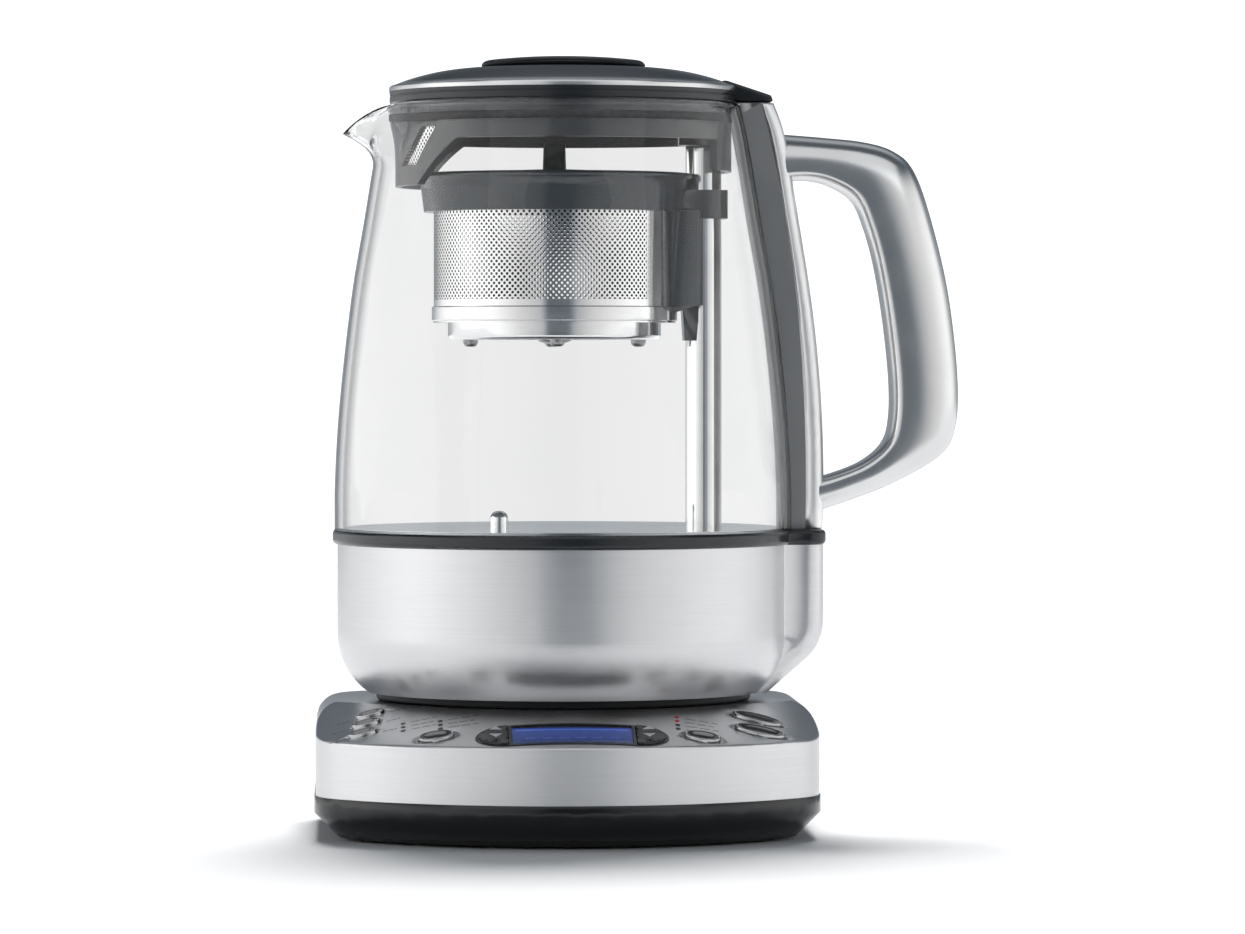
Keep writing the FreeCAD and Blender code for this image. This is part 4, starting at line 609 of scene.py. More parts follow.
@dataclass(frozen=True)
class Glow:
    """Lit display that is deeper in colour towards its near edge, and dim in reflections."""

    name: str
    low: Triple
    high: Triple
    near_y: float
    far_y: float
    strength: float
    mirrored: Triple = (0.02, 0.022, 0.03)

    def build(self) -> bpy.types.Material:
        """Make the material.

        Returns:
            The material.
        """
        surface = Surface(self.name)
        depth = surface.share(surface.split(surface.place)[1], self.near_y, self.far_y)
        bounced = surface.add("ShaderNodeLightPath").outputs["Glossy Depth"]
        light = surface.colour(surface.share(bounced, 0.0, 1.0),
                               surface.colour(depth, self.low, self.high), self.mirrored)
        surface.set(Base_Color=light, Emission_Color=light, Emission_Strength=self.strength,
                    Roughness=0.25)
        return surface.material


@dataclass(frozen=True)
class PilotLights:
    """Unlit indicator lenses, two of them lit red at one end of the panel."""

    name: str
    red_from_x: float
    red_from_y: float
    unlit: Triple = (0.03, 0.03, 0.035)
    red: Triple = (0.55, 0.05, 0.06)

    def build(self) -> bpy.types.Material:
        """Make the material.

        Returns:
            The material.
        """
        surface = Surface(self.name)
        across, back, _ = surface.split(surface.place)
        lit = surface.sum("MULTIPLY", surface.sum("GREATER_THAN", across, self.red_from_x),
                          surface.sum("GREATER_THAN", back, self.red_from_y))
        surface.set(Base_Color=surface.colour(lit, self.unlit, self.red), Roughness=0.25)
        return surface.material


BRUSHED = BrushedSteel("brushed_casing").build()
BRUSHED_SHELL = BrushedSteel("brushed_shell", level_faces=True).build()
# The handle's satin chrome darkens towards its rim as painted shade.
CHROME = PolishedSteel("satin_chrome", 0.70, 0.22, grain=0.03, rim_shade_share=0.45).build()
BRIGHT = PolishedSteel("bright_steel", 0.84, 0.07).build()
DARK_CHROME = PolishedSteel("dark_chrome", 0.34, 0.36).build()
STRIP = PolishedSteel("spine_steel", 0.84, 0.38).build()
SHEET = PolishedSteel("rolled_sheet", 0.78, 0.11).build()
KEY_RIM = PolishedSteel("key_rim", 0.46, 0.14).build()
# A darker copy of the key steel, painted shade for the keys' dishes and sides.
KEY_DISH_SHADE = PolishedSteel("key_dish_shade", 0.22, 0.18).build()
BRASS = PolishedSteel("contact_brass", 0.6, 0.25).build()
# The glass's dark edge colour is painted shade at its rims.
GLASS = ClearBody("jug_glass", (0.985, 0.99, 0.99), (0.07, 0.085, 0.10), ior=1.28).build()
PANE = ClearBody("display_pane", (0.95, 0.97, 1.0), (0.8, 0.84, 0.9), 1.16, 0.02).build()
SILICONE = ClearBody("silicone", (0.86, 0.88, 0.90), (0.7, 0.72, 0.74), 1.30, 0.35).build()
SMOKE = Plastic("skirt_smoke", (0.030, 0.034, 0.039), 0.12, 0.0, ior=1.75, alpha=0.92).build()
BLACK = Plastic("gloss_black", (0.016, 0.019, 0.023), 0.22, 0.02).build()
KNOB_BLACK = Plastic("knob_black", (0.007, 0.008, 0.009), 0.36, 0.03).build()
FOOT_BLACK = Plastic("foot_black", (0.004, 0.005, 0.006), 0.40, 0.02, ior=1.25).build()
TRAY_BLACK = Plastic("tray_black", (0.006, 0.008, 0.010), 0.18, 0.02).build()
CARRIER_GREY = Plastic("carrier_grey", (0.028, 0.037, 0.046), 0.14, 0.0, ior=1.6).build()
KEY_GREY = Plastic("key_grey", (0.040, 0.043, 0.046), 0.25, 0.02).build()
RUBBER = Plastic("soft_rubber", (0.03, 0.03, 0.03), 0.75, 0.2).build()
BOARD_GREEN = Plastic("board_green", (0.02, 0.16, 0.08), 0.4).build()
PRINT_DARK = Plastic("print_dark", (0.10, 0.10, 0.11), 0.5).build()
PRINT_WHITE = Plastic("print_white", (0.85, 0.85, 0.85), 0.4).build()


# ---------------------------------------------------------------- forms
def vertices(geometry: Iterable) -> list:
    """The vertices among some geometry."""
    return [item for item in geometry if isinstance(item, bmesh.types.BMVert)]


def edges_at(verts: Iterable) -> list:
    """The edges that meet some vertices."""
    return list({edge for vert in verts for edge in vert.link_edges})


def rounded(corners: Sequence[Triple], steps: int = 4) -> list[Point]:
    """Closed outline with rounded corners.

    Args:
        corners: Position, height and radius of each corner, none or more than none.
        steps: Steps in each rounding.

    Returns:
        The points of the outline.
    """
    points: list[Point] = []
    for index, (x, z, radius) in enumerate(corners):
        here = Vector((x, z))
        if radius <= 0.0:
            points.append((x, z))
            continue
        before = (Vector(corners[index - 1][:2]) - here).normalized()
        after = (Vector(corners[(index + 1) % len(corners)][:2]) - here).normalized()
        half = before.angle(after) / 2.0
        centre = here + (before + after).normalized() * radius / math.sin(half)
        spoke = here + before * radius / math.tan(half) - centre
        turn = math.copysign(math.pi - 2.0 * half, after.cross(before))
        points += fan(centre, spoke, turn, steps)
    return points


def fan(centre: Vector, spoke: Vector, turn: float, steps: int) -> list[Point]:
    """Tips of a spoke as it turns about a centre, both ends included."""
    tips = [centre + Matrix.Rotation(turn * step / steps, 2) @ spoke for step in range(steps + 1)]
    return [(tip.x, tip.y) for tip in tips]


def bow(start: Point, middle: Point, end: Point, steps: int) -> list[Point]:
    """Round arc through three points.

    Args:
        start: First point.
        middle: Point on the way.
        end: Last point.
        steps: Steps along the arc.

    Returns:
        Points along it, both ends included.
    """
    (ax, ay), (bx, by), (cx, cy) = start, middle, end
    double = 2.0 * (ax * (by - cy) + bx * (cy - ay) + cx * (ay - by))
    squares = (ax * ax + ay * ay, bx * bx + by * by, cx * cx + cy * cy)
    x = (squares[0] * (by - cy) + squares[1] * (cy - ay) + squares[2] * (ay - by)) / double
    y = (squares[0] * (cx - bx) + squares[1] * (ax - cx) + squares[2] * (bx - ax)) / double
    centre = Vector((x, y))
    first, second, third = (Vector(point) - centre for point in (start, middle, end))
    return fan(centre, first, -(first.angle_signed(second) + second.angle_signed(third)), steps)


def catmull(share: float, before: float, start: float, end: float, after: float) -> float:
    """Value on a smooth curve between the middle two of four stations.

    Args:
        share: Share of the way from start to end.
        before: Value at the station before the start.
        start: Value where the stretch starts.
        end: Value where it ends.
        after: Value at the station after the end.

    Returns:
        The value.
    """
    square, cube = share * share, share ** 3
    return 0.5 * (2.0 * start + (end - before) * share
                  + (2.0 * before - 5.0 * start + 4.0 * end - after) * square
                  + (3.0 * start - before - 3.0 * end + after) * cube)


def smooth(points: Sequence[Point], index: int, share: float) -> Point:
    """Place on a smooth curve through points.

    Args:
        points: Points of the curve.
        index: Point that the stretch starts at.
        share: Share of the way to the next point.

    Returns:
        The place.
    """
    last = len(points) - 1
    four = [points[min(max(index + step, 0), last)] for step in (-1, 0, 1, 2)]
    return tuple(catmull(share, *values) for values in zip(*four))


class Form:
    """A mesh under construction, in millimetres about the jug's axis."""

    def __init__(self) -> None:
        """Start with an empty mesh."""
        self.mesh = bmesh.new()

    def everything(self) -> list:
        """Every vertex, edge and face."""
        return [*self.mesh.verts, *self.mesh.edges, *self.mesh.faces]

    def paint(self, index: int, geometry: Iterable) -> None:
        """Give the faces among some geometry a finish.

        Args:
            index: Index of the finish.
            geometry: Vertices, edges and faces.
        """
        for item in geometry:
            if isinstance(item, bmesh.types.BMFace):
                item.material_index = index

    def line(self, points: Iterable[Point], across: float = 0.0, closed: bool = False) -> list:
        """Vertices and edges of a profile in the plane of X and Z.

        Args:
            points: X and Z of each vertex.
            across: Y of the profile.
            closed: Whether the last point joins the first.

        Returns:
            The vertices and edges.
        """
        verts = [self.mesh.verts.new((x, across, z)) for x, z in points]
        pairs = list(zip(verts, verts[1:]))
        if closed:
            pairs.append((verts[-1], verts[0]))
        return verts + [self.mesh.edges.new(pair) for pair in pairs]

    def spin(self, points: Iterable[Point], steps: int, centre: Point = (0.0, 0.0),
             closed: bool = True) -> None:
        """Turn a profile of radii and heights about an upright axis.

        Args:
            points: Radius and height of each vertex.
            steps: Number of steps in the full turn.
            centre: X and Y of the axis.
            closed: Whether the profile is a closed loop.
        """
        geometry = self.line([(centre[0] + radius, z) for radius, z in points], centre[1], closed)
        bmesh.ops.spin(self.mesh, geom=geometry, cent=(*centre, 0.0), axis=UP, angle=math.tau,
                       steps=steps, use_merge=True)

    def ring(self, count: int, matrix: Matrix) -> list:
        """Add a circle of unit radius under a matrix.

        Args:
            count: Number of its edges.
            matrix: Matrix that places and stretches it.

        Returns:
            Its edges.
        """
        made = bmesh.ops.create_circle(self.mesh, cap_ends=False, segments=count, radius=1.0,
                                       matrix=matrix)
        return edges_at(made["verts"])

    def skin(self, loops: Sequence[list], index: int = 0) -> None:
        """Faces of one finish between each loop of edges and the next."""
        for first, second in zip(loops, loops[1:]):
            self.paint(index, bmesh.ops.bridge_loops(self.mesh, edges=first + second)["faces"])

    def cap(self, loop: list, index: int = 0) -> None:
        """A face of one finish over a loop of edges."""
        self.paint(index, bmesh.ops.contextual_create(self.mesh, geom=loop)["faces"])

    def bar(self, size: Triple, matrix: Matrix, x: float = 0.0, y: float = 0.0,
            z: float = 0.0) -> None:
        """Add a block, centred on a place under a matrix.

        Args:
            size: Its size along each axis.
            matrix: Matrix that it lies under.
            x: Place of its middle along local X.
            y: Place of its middle along local Y.
            z: Place of its middle along local Z.
        """
        matrix = matrix @ Matrix.Translation((x, y, z)) @ Matrix.Diagonal((*size, 1.0))
        bmesh.ops.create_cube(self.mesh, size=1.0, matrix=matrix)

    def merge(self, distance: float = MERGE) -> None:
        """Merge the vertices that lie together."""
        bmesh.ops.remove_doubles(self.mesh, verts=self.mesh.verts, dist=distance)

    def face_out(self) -> None:
        """Turn every face outwards."""
        bmesh.ops.recalc_face_normals(self.mesh, faces=self.mesh.faces)

    def thicken(self, thickness: float) -> None:
        """Turn the faces outwards and give them a thickness."""
        self.face_out()
        bmesh.ops.solidify(self.mesh, geom=self.mesh.faces, thickness=thickness)

    def piece(self, name: str, finish: bpy.types.Material, body: str,
              replaces: Sequence[str] = (), sharp: float = 35.0,
              second: bpy.types.Material | None = None) -> None:
        """Close the mesh and make it a piece of the model.

        Args:
            name: Name of the piece.
            finish: Its material.
            body: Body that it rides on.
            replaces: CAD nodes that it stands for.
            sharp: Angle in degrees beyond which an edge stays crisp.
            second: Material of the faces with finish index 1.
        """
        self.merge()
        self.face_out()
        bmesh.ops.transform(self.mesh, matrix=TO_FRAME, verts=self.mesh.verts)
        thing = mount(self.mesh, name, finish, body, replaces, sharp)
        if second is not None:
            thing.data.materials.append(second)


def put(name: str, data: bpy.types.ID) -> bpy.types.Object:
    """Put a new object in the scene.

    Args:
        name: Name of the object.
        data: Mesh, light or camera that it holds.

    Returns:
        The object.
    """
    thing = bpy.data.objects.new(name, data)
    bpy.context.scene.collection.objects.link(thing)
    return thing


def mount(mesh: bmesh.types.BMesh, name: str, finish: bpy.types.Material, body: str,
          replaces: Sequence[str], sharp: float) -> bpy.types.Object:
    """Make an object of a finished mesh and hang it on its body.

    Args:
        mesh: Mesh in metres, in the model's frame.
        name: Name of the piece.
        finish: Its material.
        body: Body that it rides on.
        replaces: CAD nodes that it stands for.
        sharp: Angle in degrees beyond which an edge stays crisp.

    Returns:
        The object.
    """
    data = bpy.data.meshes.new(name)
    mesh.to_mesh(data)
    mesh.free()
    data.shade_smooth()
    data.set_sharp_from_angle(angle=math.radians(sharp))
    data.materials.append(finish)
    thing = put(name, data)
    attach(thing, body)
    if replaces:
        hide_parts(*replaces)
    LOG.info("%s: %d faces on %s", name, len(data.polygons), body)
    return thing


def refined(node: str, finish: bpy.types.Material, body: str,
            sharp: float = 30.0) -> None:
    """Smooth-shaded piece with the exact shape of a CAD node.

    Args:
        node: CAD node to follow and replace.
        finish: Its material.
        body: Body that it rides on.
        sharp: Angle in degrees beyond which an edge stays crisp.
    """
    mesh = bmesh.new()
    mesh.from_mesh(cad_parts[node].data)
    bmesh.ops.remove_doubles(mesh, verts=mesh.verts, dist=0.001 * MM)
    thing = mount(mesh, f"{node}_finished", finish, body, (node,), sharp)
    normals = thing.modifiers.new("even_normals", "WEIGHTED_NORMAL")
    normals.keep_sharp = True


def dress(finish: bpy.types.Material, *nodes: str) -> None:
    """Give CAD nodes that keep their shape a material.

    Args:
        finish: The material.
        *nodes: Names of the nodes.
    """
    for node in nodes:
        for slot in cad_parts[node].material_slots:
            slot.material = finish
        LOG.info("%s: dressed in %s", node, finish.name)


# ---------------------------------------------------------------- base
@dataclass(frozen=True)
class Panel:
    """Sloping control panel, a cone about an upright axis behind it."""

    edge_height: float = 33.0
    edge_radius: float = 99.6
    axis_y: float = 6.0
    slope: float = math.radians(17.8)
    sweep: float = math.radians(50.0)

    def place(self, x: float, y: float) -> Matrix:
        """Matrix on the panel: local Z square to it, local X along it and level in plan.

        Args:
            x: Millimetres across, from the jug's axis.
            y: Millimetres back, from the jug's axis.

        Returns:
            The matrix.
        """
        offset = Vector((x, y - self.axis_y, 0.0))
        bearing = min(max(math.atan2(offset.x, -offset.y), -self.sweep), self.sweep)
        outward = Vector((math.sin(bearing), -math.cos(bearing), 0.0))
        rise = (self.edge_radius - offset.dot(outward)) * math.tan(self.slope)
        normal = outward * math.sin(self.slope) + Vector(UP) * math.cos(self.slope)
        along = (Vector((1.0, 0.0, 0.0)) - normal * normal.x).normalized()
        turn = Matrix((along, normal.cross(along), normal)).transposed().to_4x4()
        return Matrix.Translation((x, y, self.edge_height + rise)) @ turn


@dataclass(frozen=True)
class OvalKey:
    """One dished oval button."""

    name: str
    across: float
    back: float
    half_length: float
    half_width: float
    end_step: float


@dataclass
class Base:
    """Powered base with its shell, tray, control panel and hidden electrics."""

    panel: Panel = Panel()
    small: Triple = (4.9, 3.1, 0.0)
    medium: Triple = (7.2, 4.3, 1.1)
    large: Triple = (9.4, 4.9, 0.9)
    key_segments: int = 72
    key_rise: float = 1.1
    key_foot: tuple[Point, ...] = ((0.0, -2.6), (0.0, -0.55), (0.1, -0.4))
    key_rim: tuple[Point, ...] = ((0.14, -1.45), (0.14, -0.5), (0.24, -0.2), (0.44, -0.04),
                                  (0.66, 0.0), (0.90, -0.06))
    dish_depth: float = 1.5
    dish_floor_share: float = 0.80
    dish_floor_most: float = 3.6
    dish_shares: tuple[float, ...] = (0.15, 0.3, 0.5, 0.75, 1.0)
    lights_red_from: Point = (30.0, -66.3)
    display_y: float = -81.6
    window_half: Point = (19.4, 7.8)
    window_gap: float = 0.2
    screen_depth: float = 3.6
    screen_level: float = -3.1
    mark_level: float = -1.27
    mark_depth: float = 0.04
    bars: int = 6
    bar_pitch: float = 0.28
    bar_length: float = 0.18
    arrow_place: Triple = (24.6, 2.9, 0.93)
    arrow_size: Point = (2.3, 1.9)
    arrow_depth: float = 0.06
    print_height: float = 0.03
    print_width: float = 0.42
    words: tuple[Point, ...] = ((0.0, 0.34), (0.42, 0.30), (0.80, 0.20))
    short_row: float = 0.86
    blocks: tuple[tuple[float, float, float, int, float], ...] = (
        (-51.4, -55.6, 3.7, 3, 8.4), (-39.4, -60.4, 3.6, 3, 9.8), (37.1, -61.0, 3.5, 4, 10.8))
    left_label: Triple = (-6.0, -2.0, 4.0)
    right_label: Triple = (1.6, -2.6, 4.6)

    def keys(self) -> list[OvalKey]:
        """List the seven oval buttons.

        Returns:
            The buttons, the three small ones first.
        """
        return [
            OvalKey("hot_water", -64.5, -36.0, *self.small),
            OvalKey("clock", -65.9, -46.2, *self.small),
            OvalKey("auto_start", -67.0, -56.6, *self.small),
            OvalKey("tea_type", -43.5, -75.0, *self.medium),
            OvalKey("strength", 42.0, -76.6, *self.medium),
            OvalKey("keep_warm", 61.6, -46.0, *self.large),
            OvalKey("start", 61.6, -60.2, *self.large),
        ]

    def build(self) -> None:
        """Build and dress every piece of the base."""
        refined("base_shell", BRUSHED_SHELL, "base")
        refined("base_tray", TRAY_BLACK, "base")
        refined("display_bezel", BLACK, "base")
        for key in self.keys():
            self.oval_key(key)
        self.display()
        self.rockers()
        self.printing()
        dress(RUBBER, "base_feet", "cord_inlet")
        dress(BRIGHT, "base_screws")
        dress(BLACK, "power_connector", "key_switches")
        dress(BRASS, "connector_contacts")
        dress(BOARD_GREEN, "control_board", "power_board")
        dress(PANE, "display_window")
        x, y = self.lights_red_from
        lights = PilotLights("pilot_lights", AXIS.x + x * MM, AXIS.y + y * MM)
        dress(lights.build(), "indicator_lights")

    def oval_key(self, key: OvalKey) -> None:
        """Oval cap whose raised part is shorter than its foot, with a dished top in darker steel as
        painted shade.

        Args:
            key: Key to model.
        """
        form = Form()
        matrix = self.panel.place(key.across, key.back)
        floor = min(key.half_width * self.dish_floor_share, self.dish_floor_most)
        lip, lip_level = self.key_rim[-1]

        def oval(inset: float, level: float, step: float) -> list:
            """Add an oval inside the key's outline.

            Args:
                inset: Distance inside the outline.
                level: Height above the panel.
                step: Distance by which both ends are shorter still.

            Returns:
                Its edges.
            """
            size = (key.half_length - inset - step, key.half_width - inset, 1.0, 1.0)
            place = matrix @ Matrix.Translation((0.0, 0.0, level)) @ Matrix.Diagonal(size)
            return form.ring(self.key_segments, place)

        foot = [oval(inset, level, 0.0) for inset, level in self.key_foot]
        rim = [oval(inset, self.key_rise + level, key.end_step) for inset, level in self.key_rim]
        dish = []
        for share in self.dish_shares:
            level = self.key_rise + lip_level - self.dish_depth * math.sin(share * QUARTER)
            step = key.end_step * (1.0 - share * 0.5)
            dish.append(oval(lip + (floor - lip) * share, level, step))
        # The foot's sides and the dish take the darker second steel, a painted shade.
        form.skin([*foot, rim[0]], 1)
        form.skin(rim)
        form.skin([rim[-1], *dish], 1)
        form.cap(foot[0])
        form.cap(dish[-1], 1)
        node = f"{key.name}_button"
        form.piece(f"{key.name}_cap", KEY_RIM, node, (node,), 50.0, KEY_DISH_SHADE)

    def display(self) -> None:
        """Lit display with a paler frame line and a few plain bars."""
        matrix = self.panel.place(0.0, self.display_y)
        length, width = (half - self.window_gap for half in self.window_half)
        near = AXIS.y + (self.display_y - width) * MM
        far = AXIS.y + (self.display_y + width) * MM
        blue = Glow("display_blue", (0.004, 0.018, 0.085), (0.012, 0.042, 0.26), near, far, 0.55)
        pale = Glow("display_pale", (0.03, 0.07, 0.30), (0.06, 0.12, 0.46), near, far, 0.6)
        screen = Form()
        screen.bar((2.0 * length, 2.0 * width, self.screen_depth), matrix, z=self.screen_level)
        screen.piece("display_screen", blue.build(), "base", ("display_module",))
        marks = Form()
        marks.bar((2.0 * length - 2.0, 0.9, self.mark_depth), matrix, 0.0, width - 1.8,
                  self.mark_level)
        for index in range(self.bars):
            x = (index - (self.bars - 1) / 2.0) * length * self.bar_pitch
            marks.bar((length * self.bar_length, 0.5, self.mark_depth), matrix, x, -1.4,
                      self.mark_level)
        marks.piece("display_marks", pale.build(), "base")

    def rockers(self) -> None:
        """End keys of the display, each with an up and a down arrow."""
        matrix = self.panel.place(0.0, self.display_y)
        across, back, level = self.arrow_place
        half_length, half_width = self.arrow_size
        for side, body in ((-1.0, "left_rocker"), (1.0, "right_rocker")):
            refined(f"{body}_key", KEY_GREY, body)
            form = Form()
            for up in (1.0, -1.0):
                place = matrix @ Matrix.Translation((side * across, up * back, level))
                place = place @ Matrix.Diagonal((half_length, up * half_width, 1.0, 1.0))
                made = bmesh.ops.create_circle(form.mesh, cap_ends=True, segments=3, radius=1.0,
                                               matrix=place)
                faces = list({face for vert in made["verts"] for face in vert.link_faces})
                bmesh.ops.solidify(form.mesh, geom=faces, thickness=self.arrow_depth)
            form.piece(f"{body}_arrows", PRINT_WHITE, body)

    def printing(self) -> None:
        """Rows of plain dashes that stand for the printed settings beside the lights and keys."""
        form = Form()
        for x, y, pitch, count, length in self.blocks:
            for row in range(count):
                share = self.short_row if row % 2 else 1.0
                self.dashes(form, x, y - row * pitch, length * share)
        for key in self.keys()[:3]:
            for side, (gap, drop, length) in ((-1.0, self.left_label), (1.0, self.right_label)):
                start = key.across + side * key.half_length + gap
                self.dashes(form, start, key.back + drop, length)
        form.piece("panel_print", PRINT_DARK, "base")

    def dashes(self, form: Form, x: float, y: float, length: float) -> None:
        """Add one row of dashes to the panel.

        Args:
            form: Mesh to add to.
            x: Millimetres across to its start, from the jug's axis.
            y: Millimetres back, from the jug's axis.
            length: Length of the row.
        """
        for start, share in self.words:
            place = self.panel.place(x + length * (start + share / 2.0), y)
            form.bar((length * share, self.print_width, 2.0 * self.print_height), place)


# ---------------------------------------------------------------- jug
@dataclass
class Jug:
    """Cordless jug: glass, casing, collar, spine, handle and post."""

    foot_radius: float = 76.3
    wall: float = 2.6
    upright_top: float = 112.0
    stations: tuple[Point, ...] = ((76.3, 112.0), (74.7, 141.0), (70.7, 177.0), (66.3, 203.5),
                                   (62.0, 229.5), (59.3, 241.5))
    wall_steps: int = 8
    turn_steps: int = 320
    lip_bead: float = 0.25
    lip_turns: tuple[int, ...] = tuple(range(-30, 211, 24))
    spout_start: float = 219.5
    spout_reach: float = 15.0
    spout_angle: float = math.radians(14.5)
    spout_curve: float = 2.2
    dip_shares: Point = (0.16, 0.032)
    dip_curve: float = 1.1
    grip_outer: tuple[Point, ...] = (
        (70.0, 232.0), (86.5, 230.7), (100.3, 229.2), (110.0, 226.2), (116.7, 220.0),
        (122.3, 205.0), (128.3, 180.0), (131.6, 152.0), (131.0, 134.5), (126.0, 124.8),
        (110.1, 115.5), (96.0, 109.9), (80.0, 104.6))
    grip_inner: tuple[Point, ...] = (
        (70.0, 215.6), (80.5, 216.4), (88.6, 214.6), (96.4, 209.6), (100.6, 200.5),
        (104.0, 188.0), (107.0, 170.0), (109.0, 151.0), (109.0, 137.5), (106.6, 129.0),
        (99.5, 122.8), (89.0, 118.6), (80.0, 116.6))
    grip_steps: int = 10
    grip_segments: int = 56
    grip_half_width: float = 13.5
    grip_shoulder: float = 4.5
    grip_outer_power: float = 0.74
    grip_inner_power: float = 0.52

    def build(self) -> None:
        """Build and dress every piece of the jug."""
        self.glass()
        refined("jug_casing", BRUSHED, "jug")
        refined("jug_collar", BLACK, "jug")
        refined("jug_foot", FOOT_BLACK, "jug")
        refined("spine_strip", STRIP, "jug", sharp=50.0)
        refined("spine_backing", DARK_CHROME, "jug")
        self.handle()
        refined("post_tube", BRIGHT, "jug")
        refined("floor_plate", SHEET, "jug")
        refined("temperature_probe", BRIGHT, "jug")
        dress(BLACK, "jug_socket", "gear_motor")
        dress(BRIGHT, "foot_screws", "heating_element", "lead_screw")
        dress(CARRIER_GREY, "jug_chassis", "post_cap", "magnet_carriage")
        dress(SILICONE, "shaft_bush", "glass_gasket")

    def handle(self) -> None:
        """Loop handle whose section is fullest near its inner edge."""
        form = Form()
        places = [(index, step / self.grip_steps) for index in range(len(self.grip_outer) - 1)
                  for step in range(self.grip_steps)]
        ends = [*places, (len(self.grip_outer) - 1, 0.0)]
        loops = [self.grip_ring(form, smooth(self.grip_outer, *end), smooth(self.grip_inner, *end))
                 for end in ends]
        form.skin(loops)
        form.cap(loops[0])
        form.cap(loops[-1])
        form.piece("handle_loop", CHROME, "jug", ("handle",), sharp=60.0)

    def grip_ring(self, form: Form, outer: Point, inner: Point) -> list:
        """Section of the handle between a point of its outer edge and one of its inner edge.

        Args:
            form: Mesh to add to.
            outer: Distance out and height of the outer point.
            inner: Distance out and height of the inner point.

        Returns:
            The edges of the section.
        """
        across = Vector((outer[0] - inner[0], 0.0, outer[1] - inner[1]))
        deep = across.length - self.grip_shoulder
        across.normalize()
        ridge = Vector((inner[0], 0.0, inner[1])) + across * self.grip_shoulder
        made = bmesh.ops.create_circle(form.mesh, cap_ends=False, segments=self.grip_segments,
                                       radius=1.0)["verts"]
        for vert in made:
            outward, side = vert.co.x, vert.co.y
            power = self.grip_outer_power if outward > 0.0 else self.grip_inner_power
            reach = deep if outward > 0.0 else self.grip_shoulder
            along = math.copysign(abs(outward) ** power, outward) * reach
            aside = math.copysign(abs(side) ** power, side) * self.grip_half_width
            vert.co = ridge + across * along + Vector((0.0, aside, 0.0))
        return edges_at(made)

    def wall_line(self, inset: float) -> list[Point]:
        """Smooth wall line from the foot to the rim.

        Args:
            inset: Distance inside the outer face.

        Returns:
            Radius and height of each point, upwards.
        """
        (last_radius, last), (before_radius, before) = self.stations[-1], self.stations[-2]
        knots = [(self.foot_radius, 2.0 * self.upright_top - self.stations[1][1]), *self.stations,
                 (2.0 * last_radius - before_radius, 2.0 * last - before)]
        points = [(self.foot_radius, height_of("glass_jug")[0])]
        points += [smooth(knots, index, step / self.wall_steps)
                   for index in range(1, len(knots) - 2) for step in range(self.wall_steps)]
        return [(radius - inset, height) for radius, height in points]

    def glass(self) -> None:
        """Glass body with a fire-rounded rim and a pulled spout."""
        rim_radius, rim = self.stations[-1]
        half = self.wall / 2.0
        middle = rim_radius - half
        bead = half + self.lip_bead
        lip = [(middle + bead * math.cos(turn), rim - bead + bead * math.sin(turn))
               for turn in map(math.radians, self.lip_turns)]
        form = Form()
        form.spin(self.wall_line(0.0) + lip + self.wall_line(self.wall)[::-1], self.turn_steps)
        form.merge()
        for vert in form.mesh.verts:
            vert.co = self.pulled(vert.co)
        form.piece("jug_glass", GLASS, "jug", ("glass_jug",), sharp=60.0)

    def pulled(self, point: Vector) -> Vector:
        """Where a point of the round glass goes when the spout is pulled.

        Args:
            point: Point of the round glass.

        Returns:
            The point after pulling.
        """
        if point.z < self.spout_start:
            return point
        radius = math.hypot(point.x, point.y)
        off = math.atan2(point.y, -point.x)
        rise = (point.z - self.spout_start) / (self.stations[-1][1] - self.spout_start)
        full = self.spout_reach * math.exp(-(off / self.spout_angle) ** 2)
        plain, squared = self.dip_shares
        dip = (plain * full + squared * full * full) * rise ** self.dip_curve
        factor = (radius + full * rise ** self.spout_curve) / radius
        return Vector((point.x * factor, point.y * factor, point.z - dip))


# ---------------------------------------------------------------- pierced sheet
@dataclass(frozen=True)
class Lattice:
    """Sheet rolled to a radius, pierced with rows of staggered round holes."""

    radius: float
    pitch: float = 1.92
    row: float = 1.02
    hole: float = 0.50
    sheet: float = 0.35
    inset: float = 0.1

    def cell(self, mesh: bmesh.types.BMesh, bearing: float, height: float) -> None:
        """Add one diamond of sheet round a hole.

        Args:
            mesh: Mesh to add to, about an upright axis through its origin.
            bearing: Bearing of the hole in radians.
            height: Height of the hole.
        """
        turn = Matrix.Rotation(bearing, 4, "Z") @ Matrix.Translation((self.radius, 0.0, height))
        place = turn @ Matrix.Rotation(QUARTER, 4, "Y")
        spread = Matrix.Diagonal((self.row, self.pitch / 2.0, 1.0, 1.0))
        made = bmesh.ops.create_circle(mesh, cap_ends=True, segments=4, radius=1.0,
                                       matrix=place @ spread)
        face = made["verts"][0].link_faces[0]
        bmesh.ops.subdivide_edges(mesh, edges=list(face.edges), cuts=1)
        bmesh.ops.inset_individual(mesh, faces=[face], thickness=self.inset)
        centre = place.translation
        for vert in face.verts:
            vert.co = centre + (vert.co - centre).normalized() * self.hole
        bmesh.ops.delete(mesh, geom=[face], context="FACES_ONLY")


